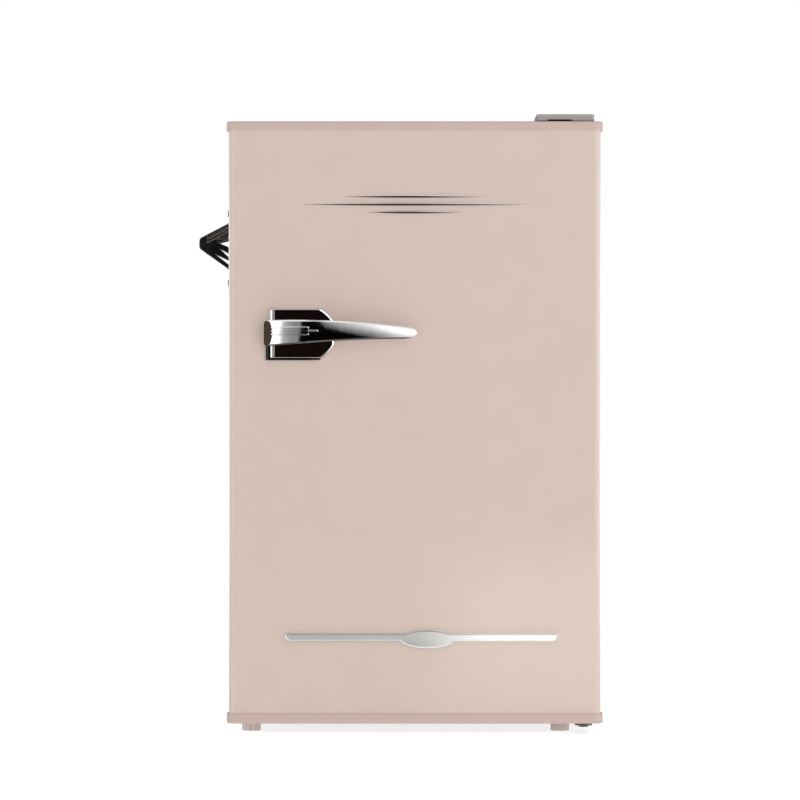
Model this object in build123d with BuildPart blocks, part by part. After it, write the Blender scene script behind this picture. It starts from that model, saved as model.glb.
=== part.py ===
from build123d import *
import os
from math import pi, radians, sin, tan

os.makedirs("parts", exist_ok=True)

# Retro compact refrigerator with a side bottle opener. All sizes are in millimetres.
# The pieces are drawn in the cabinet's frame: x = 0 on its middle plane, y = 0 on the front
# flange with the door in front of it at negative y, and z = 0 on the floor.

# Clearances
FIT = 0.3  # between pieces that lie against each other
RUNNING = 0.06  # radial, round a pin that turns or slides
SCREW_PLAY = 0.2  # radial, round a screw

# Cabinet
CABINET_WIDTH = 470.0
CABINET_DEPTH = 395.0
CABINET_HEIGHT = 758.0
FLOOR_GAP = 20.0
SHEET = 1.0
SHELL_BEND = 6.0
FLANGE = 30.0
PAN_SHEET = 1.2
RAIL_HEIGHT = 31.0
PANEL_SCREW_INSET = 20.0

# Walls and food space
SIDE_WALL = 37.0
TOP_WALL = 40.0
BOTTOM_WALL = 40.0
BACK_WALL = 40.0
STEP_WALL = 36.0
LINER = 2.0
LINER_BEND = 18.0
LINER_CORNER = 14.0

# Machine compartment
NICHE_DEPTH = 145.0
NICHE_HEADROOM = 24.8
NICHE_BEND = 4.0

# Ledges and shelves
LEDGE_REACH = 10.0
LEDGE_HEIGHT = 6.0
LEDGE_FRONT = 70.0
LEDGE_RISE = 21.0  # lowest ledge above the step
LEDGE_COUNT = 4
GLASS = 4.0
SHELF_FRONT = 100.0
SHELF_SIDE_PLAY = 4.0
SHELF_BACK_PLAY = 14.0
TRIM_LIP = 6.0
TRIM_WALL = 2.5

# Chiller
CHILLER_FRONT = 122.0
CHILLER_SIDE_GAP = 10.0
CHILLER_STAT_GAP = 14.0
CHILLER_HEIGHT = 98.0
CHILLER_CEILING_GAP = 10.0
CHILLER_BACK_GAP = 10.0
EVAPORATOR_SHEET = 1.6
EVAPORATOR_CORNER = 8.0
CHANNEL_COUNT = 6
CHANNEL_HEIGHT = 1.2
CHANNEL_WIDTH = 7.0
HANGER_RADIUS = 6.0
HANGER_SIDE_INSET = 30.0
HANGER_END_INSET = 40.0
FRAME_DEPTH = 10.0
FRAME_BORDER = 8.0
FRAME_ROUND = 8.0
FLAP_THICK = 3.6
FLAP_BARREL = 3.5
FLAP_PIN = 2.5
FLAP_EAR = 6.0
FLAP_SIDE_PLAY = 2.0
FLAP_LIP_WIDTH = 90.0
FLAP_LIP_REACH = 8.0
FLAP_LIP_HEIGHT = 7.0
TRAY_GAP = 2.0
TRAY_HEIGHT = 22.0
TRAY_WALL = 2.0

# Thermostat
STAT_WIDTH = 72.0
STAT_DEPTH = 78.0
STAT_HEIGHT = 97.0
STAT_WALL = 2.0
KNOB_RADIUS = 20.0
KNOB_DEPTH = 16.0
KNOB_GAP = 1.0
SPINDLE_RADIUS = 3.0
KNOB_DROP = 48.0
SWITCH_WIDTH = 36.0
SWITCH_HEIGHT = 44.0
SWITCH_DEPTH = 30.0
SPINDLE_INSET = 10.0

# Compressor and refrigerant circuit
COMPRESSOR_X = -70.0
COMPRESSOR_LENGTH = 160.0
COMPRESSOR_WIDTH = 112.0
COMPRESSOR_HEIGHT = 142.0
COMPRESSOR_ROUND = 50.0
MOUNT_PLATE = 2.0
MOUNT_SPACING_X = 176.0
MOUNT_SPACING_Y = 76.0
GROMMET_HEIGHT = 15.0
GROMMET_RADIUS = 11.0
MOUNT_BOLT = 3.0
SEAM_REACH = 4.0
RELAY_WIDTH = 50.0
RELAY_HEIGHT = 44.0
RELAY_REACH = 26.0
EVAPORATION_TRAY = 20.0
SPOUT_RADIUS = 6.0
SPOUT_LENGTH = 18.0
LINE_RADIUS = 3.0
DRIER_X = 150.0
DRIER_RADIUS = 9.0
DRIER_LENGTH = 110.0
CONDENSER_RADIUS = 2.2
CONDENSER_PITCH = 90.0
CONDENSER_RUNS = 4
CONDENSER_FRONT = 60.0
CONDENSER_BACK_GAP = 45.0
CONDENSER_TOP_GAP = 88.0

# Feet
FOOT_Y = 30.0
LEFT_FOOT_INSET = 24.0
FOOT_HINGE_GAP = 5.0
FOOT_RADIUS = 12.0
FOOT_PAD = 14.0
FOOT_FLUTES = 12
STUD_RADIUS = 4.0
STUD_LENGTH = 28.0
NUT_HEIGHT = 7.0
NUT_RADIUS = 7.5
REAR_FOOT_INSET = 30.0
REAR_FOOT_RADIUS = 15.0

# Door
DOOR_DROP = 5.0  # door below the cabinet
DOOR_RISE = 4.0  # door above the cabinet
DOOR_GAP = 10.0
DOOR_THICK = 43.0
PANEL_OVERLAP = 2.0  # door panel past each side of the cabinet
PANEL_BEND = 8.0
CAP_OVERHANG = 3.0
CAP_PROUD = 1.5
TOP_CAP = 11.0
BOTTOM_CAP = 12.0
CAP_PLUG = 10.0
CAP_WALL = 2.5
CAP_FRONT_ROUND = 12.0
CAP_BACK_ROUND = 6.0
CAP_EDGE = 2.5
DAM_REACH = 24.0
DAM_WIDTH = 26.0
DAM_SIDE_GAP = 10.0
DAM_END_GAP = 12.0
DAM_ROUND = 6.0

# Gasket
GASKET_WIDTH = 14.0
GASKET_EDGE = 15.0
GASKET_FACE_GAP = 0.4
GASKET_FOOT = 2.5
MAGNET_WIDTH = 7.0
MAGNET_THICK = 2.4
MAGNET_COVER = 1.2

# Door bins
BIN_WALL = 2.2
BIN_PLAY = 2.0
BIN_ROUND = 10.0
LUG_REACH = 8.0
LUG_HEIGHT = 6.0
BIN_BOW = 12.0
BIN_RISE = 8.0  # lowest bin above the dam's lower side
LOWER_BIN_HEIGHT = 74.0
LOWER_BIN_REACH = 70.0
UPPER_BIN_HEIGHT = 56.0
MIDDLE_BIN_REACH = 60.0
UPPER_BIN_REACH = 56.0
MIDDLE_BIN_SHARE = 0.38  # of the dam's height
UPPER_BIN_SHARE = 0.66

# Hinges
HINGE_INSET = 24.0  # pin to the edge of the door caps
HINGE_SETBACK = 0.5
PIN_RADIUS = 4.0
PIN_REACH = 14.0
PIN_HEAD = 2.0
PIN_HEAD_RADIUS = 6.0
BUSH_WALL = 3.0
BUSH_FLOOR = 1.0
BRACKET = 2.5
BRACKET_HALF = 11.0
BRACKET_LEFT_REACH = 50.0
BRACKET_BACK = 31.0
BOTTOM_BRACKET_BACK = 48.0
RISER_Y = 3.0
TOP_SCREW_PITCH = 20.0
BOTTOM_SCREW_PITCH = 20.0
HINGE_CLEARANCE = 1.0
COVER_LEFT_REACH = 61.0
COVER_HEIGHT = 13.5
COVER_BACK = 40.0
COVER_FRONT = 16.0
COVER_WALL = 1.8
COVER_SLOT_WIDTH = 30.0
COVER_SLOT_HEIGHT = 1.4
COVER_ROUND = 4.0
SCREW_RADIUS = 2.0
SCREW_HEAD_RADIUS = 4.0
SCREW_HEAD = 2.2

# Handle
HANDLE_INSET = 95.0
HANDLE_DROP = 270.5
PLATE_LEFT = 41.0
PLATE_RIGHT = 44.5
PLATE_HALF_HEIGHT = 33.0
PLATE_CUT = 18.0
PLATE_CUT_BOW = 1.6
PLATE_EDGE = 1.2
STRIP_WIDTH = 5.1
STRIP_EDGE = 1.7
STRIP_RISE = 1.3
PLATE_THICK = 8.0
PLATE_SLOPE = 20.0
PLATE_RIM = 2.6
INLAY = 1.0
HANDLE_REACH = 36.0
BLOCK_LEFT = 32.0
BLOCK_RIGHT = 30.0
BLOCK_HALF_HEIGHT = 12.0
BLADE_LEFT_REACH = 46.5
BLADE_TIP_REACH = 147.5
BLADE_APEX_OFFSET = 11.0
BLADE_LEFT_FALL = 13.0
BLADE_TIP_FALL = 15.0
BLADE_HALF_HEIGHT = 16.5
BLADE_TIP_HALF_HEIGHT = 6.5
BLADE_RISE = 3.0
BLADE_TAPER = 1.3
BLADE_TIP_ROUND = 20.0
BLADE_THICK = 12.0
BLADE_TIP_THICK = 5.0
BLADE_CROWN = 0.1
BLADE_BEVEL = 2.0
BLADE_BACK_SHARE = 0.85
BLADE_END_ROUND = 5.0
BLADE_END_SLOPE = 9.5
BLADE_END_EDGE = 7.5
BLADE_SECTIONS = 6
RIB_HEIGHT = 1.0
RIB_WIDTH = 2.6
RIB_BEVEL = 1.0
RIB_PITCH = 4.2
RIB_LEFT_REACH = 37.0
RIB_LENGTH = 48.0
MIDDLE_RIB_LENGTH = 60.0
HANDLE_SCREW_PITCH = 36.0
HANDLE_SCREW_DEPTH = 10.0

# Lower trim
TRIM_LEFT_INSET = 74.5
TRIM_RIGHT_INSET = 57.0
TRIM_RISE = 110.0
TRIM_HEIGHT = 9.5
TRIM_THICK = 3.5
TRIM_RIM = 0.5
TRIM_BEVEL = 1.3
TRIM_DISH = 1.5
TRIM_END_SLANT = 1.0
TRIM_END_ROUND = 7.5
OVAL_X = 16.0
OVAL_WIDTH = 69.0
OVAL_HEIGHT = 23.0
OVAL_DROP = 2.5

# Bottle opener
OPENER_Y = 75.0
OPENER_DROP = 153.0
OPENER_WIDTH = 54.0
OPENER_LENGTH = 104.0
OPENER_PLATE = 6.0
OPENER_REACH = 44.5
HOOD_WIDTH = 50.0
HOOD_TOP = 33.5
HOOD_BOTTOM = -30.5
NOSE_TOP = 12.0
NOSE_BOTTOM = -1.0
NOSE_ROUND = 6.0
HOOD_WALL = 5.0
ROOF_WALL = 6.0
NOSE_WALL = 9.0
OPENER_ROUND = 12.0
FLUTE_DEPTH = 1.2
FLUTE_WIDTH = 2.6
FLUTE_DROPS = (3.2, 8.4)
FLUTE_NEAR = 9.0
FLUTE_FAR = 34.0
WINDOWS = (  # length, then height of the tip and of both corners at the plate
    (23.0, 10.0, 16.0, 13.0),
    (20.5, 7.0, 10.5, 0.5),
    (18.0, -1.0, -7.5, -13.0),
    (24.0, -8.0, -16.5, -22.0),
)
TOOTH = 4.0
OPENER_SCREW = 2.4
OPENER_SCREW_PITCH = 90.0

# Places worked out from the sizes above
HALF = CABINET_WIDTH / 2
CABINET_TOP = FLOOR_GAP + CABINET_HEIGHT
PAN_TOP = FLOOR_GAP + PAN_SHEET
CAVITY_HALF = HALF - SIDE_WALL
CAVITY_TOP = CABINET_TOP - TOP_WALL
CAVITY_FLOOR = FLOOR_GAP + BOTTOM_WALL
CAVITY_BACK = CABINET_DEPTH - BACK_WALL
NICHE_FRONT = CABINET_DEPTH - NICHE_DEPTH
NICHE_HEIGHT = PAN_SHEET + GROMMET_HEIGHT + MOUNT_PLATE + COMPRESSOR_HEIGHT + NICHE_HEADROOM
NICHE_TOP = FLOOR_GAP + NICHE_HEIGHT
NICHE_MIDDLE = CABINET_DEPTH - NICHE_DEPTH / 2
STEP_FRONT = NICHE_FRONT - STEP_WALL
STEP_TOP = NICHE_TOP + STEP_WALL
SHELL_INSIDE = HALF - SHEET
DOOR_BACK = -DOOR_GAP
DOOR_FRONT = -(DOOR_GAP + DOOR_THICK)
DOOR_BOTTOM = FLOOR_GAP - DOOR_DROP
DOOR_TOP = CABINET_TOP + DOOR_RISE
PANEL_HALF = HALF + PANEL_OVERLAP
CAP_HALF = PANEL_HALF + CAP_OVERHANG
PANEL_LOW = DOOR_BOTTOM + BOTTOM_CAP
PANEL_HIGH = DOOR_TOP - TOP_CAP
HINGE_X = CAP_HALF - HINGE_INSET
COVER_LEFT = HINGE_X - COVER_LEFT_REACH
COVER_RIGHT = HINGE_X + BRACKET_HALF + FIT + COVER_WALL
BRACKET_LEFT = HINGE_X - BRACKET_LEFT_REACH
TOP_SCREW_X = (BRACKET_LEFT + HINGE_X + BRACKET_HALF) / 2
TOP_SCREW_Y = (RISER_Y + BRACKET + BRACKET_BACK) / 2
BOTTOM_SCREW_Y = (RISER_Y + BRACKET + BOTTOM_BRACKET_BACK) / 2
HINGE_Y = DOOR_BACK - DOOR_THICK / 2 + HINGE_SETBACK
STAT_RIGHT = CAVITY_HALF - SHELF_SIDE_PLAY
CHILLER_LEFT = CHILLER_SIDE_GAP - CAVITY_HALF
CHILLER_RIGHT = STAT_RIGHT - STAT_WIDTH - CHILLER_STAT_GAP
CHILLER_TOP = CAVITY_TOP - CHILLER_CEILING_GAP
CHILLER_BOTTOM = CHILLER_TOP - CHILLER_HEIGHT
TRAY_LEVEL = CHILLER_BOTTOM - FRAME_BORDER - TRAY_GAP - TRAY_HEIGHT
LOWER_SHELF_LEVEL = STEP_TOP + LEDGE_RISE
LEDGE_STEP = (TRAY_LEVEL - LOWER_SHELF_LEVEL) / LEDGE_COUNT
UPPER_SHELF_LEVEL = LOWER_SHELF_LEVEL + 2 * LEDGE_STEP
LEDGE_LEVELS = [LOWER_SHELF_LEVEL + index * LEDGE_STEP for index in range(LEDGE_COUNT + 1)]
EVAPORATOR_FRONT = CHILLER_FRONT + FRAME_DEPTH
EVAPORATOR_BACK = CAVITY_BACK - CHILLER_BACK_GAP
FLAP_Y = CHILLER_FRONT - FLAP_BARREL - FIT
FLAP_Z = CHILLER_TOP - FRAME_BORDER
LEFT_FOOT_X = LEFT_FOOT_INSET - HALF
RIGHT_FOOT_X = HINGE_X - BRACKET_HALF - FOOT_HINGE_GAP - FOOT_RADIUS
REAR_FOOT_X = HALF - REAR_FOOT_INSET
REAR_FOOT_Y = CABINET_DEPTH - REAR_FOOT_INSET
HANDLE_X = HANDLE_INSET - CAP_HALF
HANDLE_Z = DOOR_TOP - HANDLE_DROP
PLATE_FRONT = DOOR_FRONT - PLATE_THICK
BLADE_LEFT = HANDLE_X - BLADE_LEFT_REACH
BLADE_TIP = HANDLE_X + BLADE_TIP_REACH
BLADE_APEX = HANDLE_X + BLADE_APEX_OFFSET
RIB_LEFT = HANDLE_X - RIB_LEFT_REACH
TRIM_LEFT = TRIM_LEFT_INSET - CAP_HALF
TRIM_RIGHT = CAP_HALF - TRIM_RIGHT_INSET
TRIM_Z = DOOR_BOTTOM + TRIM_RISE
OPENER_Z = CABINET_TOP - OPENER_DROP
CONDENSER_BACK = CABINET_DEPTH - CONDENSER_BACK_GAP
CONDENSER_TOP = CABINET_TOP - CONDENSER_TOP_GAP
CONDENSER_BOTTOM = CONDENSER_TOP - CONDENSER_PITCH * (CONDENSER_RUNS - 1)
COMPRESSOR_BASE = PAN_TOP + GROMMET_HEIGHT + MOUNT_PLATE

# The shared frame has its origin under the middle of the whole object's box.
LEFT_LIMIT = -(HALF + OPENER_REACH)
FRONT_LIMIT = DOOR_FRONT - HANDLE_REACH
BACK_LIMIT = CABINET_DEPTH + SCREW_HEAD / 2
ROW_ORIGIN = Location((-(LEFT_LIMIT + CAP_HALF) / 2, -(FRONT_LIMIT + BACK_LIMIT) / 2, 0))


def save(piece, name):
    """Move a finished piece into the shared frame, label it and write it."""
    placed = piece.moved(ROW_ORIGIN)
    placed.label = name
    export_step(placed, f"parts/{name}.step")


def front_plane(y):
    """Sketch plane at depth y that faces the front: local x is x and local y is z."""
    return Plane.XZ.offset(-y)


def side_plane(x):
    """Sketch plane at x that faces the right: local x is y and local y is z."""
    return Plane.YZ.offset(x)


def level(z):
    """Sketch plane at height z."""
    return Plane.XY.offset(z)


def between(low, high):
    """Middle of two limits."""
    return (low + high) / 2


def span(x, y, mode=Mode.ADD):
    """Sketch rectangle between two limits on each local axis."""
    with Locations((between(*x), between(*y))):
        return Rectangle(x[1] - x[0], y[1] - y[0], mode=mode)


# Cabinet: folded outer shell, base pan, back panel and the panel round the machine compartment
with BuildPart() as cabinet_shell:
    with BuildSketch(front_plane(0)) as wrapper:
        span((-HALF, HALF), (FLOOR_GAP, CABINET_TOP))
        fillet(wrapper.vertices().group_by(Axis.Y)[-1], SHELL_BEND)
    extrude(amount=-CABINET_DEPTH)
    with BuildSketch(front_plane(SHEET)) as hollow:
        span((-SHELL_INSIDE, SHELL_INSIDE), (FLOOR_GAP, CABINET_TOP - SHEET))
        fillet(hollow.vertices().group_by(Axis.Y)[-1], SHELL_BEND - SHEET)
    extrude(amount=-CABINET_DEPTH, mode=Mode.SUBTRACT)
    with BuildSketch(front_plane(0)):
        span((FLANGE - HALF, HALF - FLANGE), (FLOOR_GAP, CABINET_TOP - FLANGE))
    extrude(amount=-SHEET, mode=Mode.SUBTRACT)
    with BuildSketch(side_plane(-HALF)):
        with Locations((OPENER_Y, OPENER_Z)):
            with GridLocations(0, OPENER_SCREW_PITCH, 1, 2):
                Circle(OPENER_SCREW + SCREW_PLAY)
    extrude(amount=SHEET, mode=Mode.SUBTRACT)

    with BuildSketch(level(CABINET_TOP)):
        with Locations((TOP_SCREW_X, TOP_SCREW_Y)):
            with GridLocations(TOP_SCREW_PITCH, 0, 3, 1):
                Circle(SCREW_RADIUS + SCREW_PLAY)
    extrude(amount=-SHEET, mode=Mode.SUBTRACT)
save(cabinet_shell.part, "cabinet_shell")

with BuildPart() as base_pan:
    with BuildSketch(level(FLOOR_GAP)):
        span((-SHELL_INSIDE, SHELL_INSIDE), (SHEET, CABINET_DEPTH))
        with Locations((LEFT_FOOT_X, FOOT_Y), (RIGHT_FOOT_X, FOOT_Y)):
            Circle(STUD_RADIUS + SCREW_PLAY, mode=Mode.SUBTRACT)
        with Locations((COMPRESSOR_X, NICHE_MIDDLE)):
            with GridLocations(MOUNT_SPACING_X, MOUNT_SPACING_Y, 2, 2):
                Circle(MOUNT_BOLT + SCREW_PLAY, mode=Mode.SUBTRACT)
        with Locations((HINGE_X, BOTTOM_SCREW_Y)):
            with GridLocations(0, BOTTOM_SCREW_PITCH, 1, 2):
                Circle(SCREW_RADIUS + SCREW_PLAY, mode=Mode.SUBTRACT)
    extrude(amount=PAN_SHEET)
    with BuildSketch(front_plane(0)):
        span((FLANGE - HALF, HALF - FLANGE), (FLOOR_GAP, FLOOR_GAP + RAIL_HEIGHT))
    extrude(amount=-SHEET)
save(base_pan.part, "base_pan")

PANEL_SCREW_PITCH_X = CABINET_WIDTH - 2 * PANEL_SCREW_INSET
PANEL_SCREW_PITCH_Z = (CABINET_TOP - NICHE_TOP - 2 * PANEL_SCREW_INSET) / 2
PANEL_SCREW_Z = between(NICHE_TOP, CABINET_TOP)
with BuildPart() as back_panel:
    with BuildSketch(front_plane(CABINET_DEPTH - SHEET)) as sheet:
        span((FIT - SHELL_INSIDE, SHELL_INSIDE - FIT), (NICHE_TOP, CABINET_TOP - SHEET - FIT))
        fillet(sheet.vertices().group_by(Axis.Y)[-1], SHELL_BEND)
        with Locations((0, PANEL_SCREW_Z)):
            with GridLocations(PANEL_SCREW_PITCH_X, PANEL_SCREW_PITCH_Z, 2, 3):
                Circle(SCREW_RADIUS + SCREW_PLAY, mode=Mode.SUBTRACT)
    extrude(amount=-SHEET)
save(back_panel.part, "back_panel")

with BuildPart() as back_panel_screws:
    with BuildSketch(front_plane(CABINET_DEPTH - SHEET)):
        with Locations((0, PANEL_SCREW_Z)):
            with GridLocations(PANEL_SCREW_PITCH_X, PANEL_SCREW_PITCH_Z, 2, 3):
                Circle(SCREW_RADIUS)
    extrude(amount=-SHEET)
    with BuildSketch(front_plane(CABINET_DEPTH)):
        with Locations((0, PANEL_SCREW_Z)):
            with GridLocations(PANEL_SCREW_PITCH_X, PANEL_SCREW_PITCH_Z, 2, 3):
                Circle(SCREW_HEAD_RADIUS)
    extrude(amount=-SCREW_HEAD / 2)
save(back_panel_screws.part, "back_panel_screws")

with BuildPart() as machine_room_panel:
    with BuildSketch(side_plane(FIT - SHELL_INSIDE)):
        with BuildLine():
            FilletPolyline(
                (NICHE_FRONT - SHEET, PAN_TOP),
                (NICHE_FRONT - SHEET, NICHE_TOP + SHEET),
                (CABINET_DEPTH - SHEET, NICHE_TOP + SHEET),
                radius=NICHE_BEND + SHEET,
            )
            Line((CABINET_DEPTH - SHEET, NICHE_TOP + SHEET), (CABINET_DEPTH - SHEET, NICHE_TOP))
            FilletPolyline(
                (CABINET_DEPTH - SHEET, NICHE_TOP),
                (NICHE_FRONT, NICHE_TOP),
                (NICHE_FRONT, PAN_TOP),
                radius=NICHE_BEND,
            )
            Line((NICHE_FRONT, PAN_TOP), (NICHE_FRONT - SHEET, PAN_TOP))
        make_face()
    extrude(amount=2 * (SHELL_INSIDE - FIT))
save(machine_room_panel.part, "machine_room_panel")


# Inner liner and insulation
def cavity_block(grow):
    """The food space as one solid, with its walls moved outwards by grow."""
    with BuildPart() as block:
        with BuildSketch(side_plane(-(CAVITY_HALF + grow))):
            with BuildLine():
                FilletPolyline(
                    (SHEET, CAVITY_FLOOR - grow),
                    (STEP_FRONT + grow, CAVITY_FLOOR - grow),
                    (STEP_FRONT + grow, STEP_TOP - grow),
                    (CAVITY_BACK + grow, STEP_TOP - grow),
                    (CAVITY_BACK + grow, CAVITY_TOP + grow),
                    (SHEET, CAVITY_TOP + grow),
                    radius=[LINER_BEND + grow, LINER_BEND - grow, LINER_BEND + grow, LINER_BEND + grow],
                )
                Line((SHEET, CAVITY_TOP + grow), (SHEET, CAVITY_FLOOR - grow))
            make_face()
        extrude(amount=2 * (CAVITY_HALF + grow))
        outline = block.faces().filter_by(Axis.X).edges()
        fillet(outline.filter_by(lambda edge: edge.center().Y > SHEET + FIT), LINER_CORNER + grow)
    return block.part


LEDGE_BACK = CAVITY_BACK - LINER_CORNER
with BuildPart() as inner_liner:
    add(cavity_block(LINER))
    with BuildSketch(front_plane(SHEET)) as lip:
        span((FIT - SHELL_INSIDE, SHELL_INSIDE - FIT), (PAN_TOP + FIT, CABINET_TOP - SHEET - FIT))
        fillet(lip.vertices().group_by(Axis.Y)[-1], SHELL_BEND)
    extrude(amount=-LINER)
    add(cavity_block(0), mode=Mode.SUBTRACT)
    for side in (-1, 1):
        with BuildSketch(front_plane(LEDGE_FRONT)):
            ledge_x = side * (CAVITY_HALF + between(LINER, -LEDGE_REACH))
            for ledge in LEDGE_LEVELS:
                with Locations((ledge_x, ledge - LEDGE_HEIGHT / 2)):
                    Rectangle(LEDGE_REACH + LINER, LEDGE_HEIGHT)
        extrude(amount=LEDGE_FRONT - LEDGE_BACK)
save(inner_liner.part, "inner_liner")

FOAM_FRONT = SHEET + LINER + FIT
FOAM_HALF = SHELL_INSIDE - FIT
CONDENSER_POCKET = 2 * CONDENSER_RADIUS + 2 * FIT
CONDENSER_MARGIN = CONDENSER_RADIUS + 2 * FIT
with BuildPart() as insulation_foam:
    with BuildSketch(side_plane(-FOAM_HALF)):
        with BuildLine():
            Polyline(
                (FOAM_FRONT, PAN_TOP + FIT),
                (NICHE_FRONT - SHEET - FIT, PAN_TOP + FIT),
                (NICHE_FRONT - SHEET - FIT, NICHE_TOP + SHEET + FIT),
                (CABINET_DEPTH - SHEET - FIT, NICHE_TOP + SHEET + FIT),
                (CABINET_DEPTH - SHEET - FIT, CABINET_TOP - SHEET - FIT),
                (FOAM_FRONT, CABINET_TOP - SHEET - FIT),
                close=True,
            )
        make_face()
    extrude(amount=2 * FOAM_HALF)
    fillet(insulation_foam.edges().filter_by(Axis.Y).group_by(Axis.Z)[-1], SHELL_BEND)
    add(cavity_block(LINER + FIT), mode=Mode.SUBTRACT)
    with BuildSketch(level(PAN_TOP + FIT)):
        with Locations((LEFT_FOOT_X, FOOT_Y), (RIGHT_FOOT_X, FOOT_Y)):
            Circle(NUT_RADIUS + FIT)
    extrude(amount=STUD_LENGTH, mode=Mode.SUBTRACT)
    for side in (-1, 1):
        with BuildSketch(side_plane(side * FOAM_HALF)):
            span(
                (CONDENSER_FRONT - CONDENSER_PITCH / 2 - CONDENSER_MARGIN, CONDENSER_BACK + CONDENSER_MARGIN),
                (CONDENSER_BOTTOM - CONDENSER_MARGIN, CONDENSER_TOP + CONDENSER_MARGIN),
            )
        extrude(amount=-side * CONDENSER_POCKET, mode=Mode.SUBTRACT)
save(insulation_foam.part, "insulation_foam")

# Condenser: one serpentine tube against the inside of each steel side
with BuildPart() as condenser_tubes:
    for side in (-1, 1):
        tube_x = side * (SHELL_INSIDE - FIT - CONDENSER_RADIUS)
        with BuildLine(side_plane(tube_x)) as serpentine:
            for run in range(CONDENSER_RUNS):
                run_z = CONDENSER_BOTTOM + run * CONDENSER_PITCH
                ends = (CONDENSER_FRONT, CONDENSER_BACK - CONDENSER_PITCH / 2)
                Line((ends[0], run_z), (ends[1], run_z))
                if run < CONDENSER_RUNS - 1:
                    turn_y = ends[1] if run % 2 == 0 else ends[0]
                    bulge = CONDENSER_PITCH / 2 if run % 2 == 0 else -CONDENSER_PITCH / 2
                    ThreePointArc(
                        (turn_y, run_z),
                        (turn_y + bulge, run_z + CONDENSER_PITCH / 2),
                        (turn_y, run_z + CONDENSER_PITCH),
                    )
        with BuildSketch(Plane(origin=(tube_x, CONDENSER_FRONT, CONDENSER_BOTTOM), z_dir=(0, 1, 0))):
            Circle(CONDENSER_RADIUS)
        sweep(path=serpentine.wires()[0])
save(condenser_tubes.part, "condenser_tubes")

# Chiller: folded evaporator, its hangers, front frame, flap and drip tray
FLAP_LEFT = CHILLER_LEFT + FLAP_SIDE_PLAY
FLAP_RIGHT = CHILLER_RIGHT - FLAP_SIDE_PLAY
CHILLER_X = between(CHILLER_LEFT, CHILLER_RIGHT)
CHILLER_Z = between(CHILLER_BOTTOM, CHILLER_TOP)
CHILLER_WIDTH = CHILLER_RIGHT - CHILLER_LEFT
EVAPORATOR_LENGTH = EVAPORATOR_BACK - EVAPORATOR_FRONT
with BuildPart() as evaporator:
    with BuildSketch(front_plane(EVAPORATOR_FRONT)):
        with Locations((CHILLER_X, CHILLER_Z)):
            RectangleRounded(CHILLER_WIDTH, CHILLER_HEIGHT, EVAPORATOR_CORNER)
            RectangleRounded(
                CHILLER_WIDTH - 2 * EVAPORATOR_SHEET,
                CHILLER_HEIGHT - 2 * EVAPORATOR_SHEET,
                EVAPORATOR_CORNER - EVAPORATOR_SHEET,
                mode=Mode.SUBTRACT,
            )
    extrude(amount=-EVAPORATOR_LENGTH)
    with BuildSketch(level(CHILLER_BOTTOM + EVAPORATOR_SHEET)):
        with Locations((CHILLER_X, between(EVAPORATOR_FRONT, EVAPORATOR_BACK))):
            with GridLocations(0, EVAPORATOR_LENGTH / CHANNEL_COUNT, 1, CHANNEL_COUNT):
                SlotOverall(CHILLER_WIDTH - 4 * EVAPORATOR_CORNER, CHANNEL_WIDTH)
    extrude(amount=CHANNEL_HEIGHT, taper=30)
save(evaporator.part, "evaporator")

HANGER_PITCH_X = CHILLER_WIDTH - 2 * HANGER_SIDE_INSET
HANGER_PITCH_Y = EVAPORATOR_LENGTH - 2 * HANGER_END_INSET
with BuildPart() as evaporator_hangers:
    with BuildSketch(level(CHILLER_TOP)):
        with Locations((CHILLER_X, between(EVAPORATOR_FRONT, EVAPORATOR_BACK))):
            with GridLocations(HANGER_PITCH_X, HANGER_PITCH_Y, 2, 2):
                Circle(HANGER_RADIUS)
    extrude(amount=CHILLER_CEILING_GAP)
save(evaporator_hangers.part, "evaporator_hangers")

EAR_TOP = FLAP_Z + FRAME_BORDER
with BuildPart() as chiller_frame:
    with BuildSketch(front_plane(CHILLER_FRONT)):
        with Locations((CHILLER_X, CHILLER_Z)):
            RectangleRounded(
                CHILLER_WIDTH + 2 * FLAP_EAR,
                CHILLER_HEIGHT + 2 * FRAME_BORDER,
                FRAME_ROUND,
            )
            RectangleRounded(
                CHILLER_WIDTH - 2 * FRAME_BORDER,
                CHILLER_HEIGHT - 2 * FRAME_BORDER,
                EVAPORATOR_CORNER,
                mode=Mode.SUBTRACT,
            )
    extrude(amount=-FRAME_DEPTH)
    for ear_x in (CHILLER_LEFT - FLAP_EAR, CHILLER_RIGHT):
        with BuildSketch(side_plane(ear_x)):
            with Locations((FLAP_Y, FLAP_Z)):
                Circle(FRAME_BORDER)
            span((FLAP_Y, CHILLER_FRONT), (FLAP_Z - FRAME_BORDER, EAR_TOP))
            with Locations((FLAP_Y, FLAP_Z)):
                Circle(FLAP_PIN + RUNNING, mode=Mode.SUBTRACT)
        extrude(amount=FLAP_EAR)
save(chiller_frame.part, "chiller_frame")

FLAP_BOTTOM = CHILLER_BOTTOM + FIT
with BuildPart() as chiller_flap:
    with BuildSketch(side_plane(FLAP_LEFT)):
        with Locations((FLAP_Y, FLAP_Z)):
            Circle(FLAP_BARREL)
        span((FLAP_Y - FLAP_THICK / 2, FLAP_Y + FLAP_THICK / 2), (FLAP_BOTTOM, FLAP_Z))
    extrude(amount=FLAP_RIGHT - FLAP_LEFT)
    with BuildSketch(side_plane(CHILLER_LEFT - FLAP_EAR)):
        with Locations((FLAP_Y, FLAP_Z)):
            Circle(FLAP_PIN)
    extrude(amount=CHILLER_WIDTH + 2 * FLAP_EAR)
    with BuildSketch(front_plane(FLAP_Y)):
        with Locations((CHILLER_X, FLAP_BOTTOM + FLAP_LIP_HEIGHT / 2)):
            SlotOverall(FLAP_LIP_WIDTH, FLAP_LIP_HEIGHT)
    extrude(amount=FLAP_THICK / 2 + FLAP_LIP_REACH)
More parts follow.
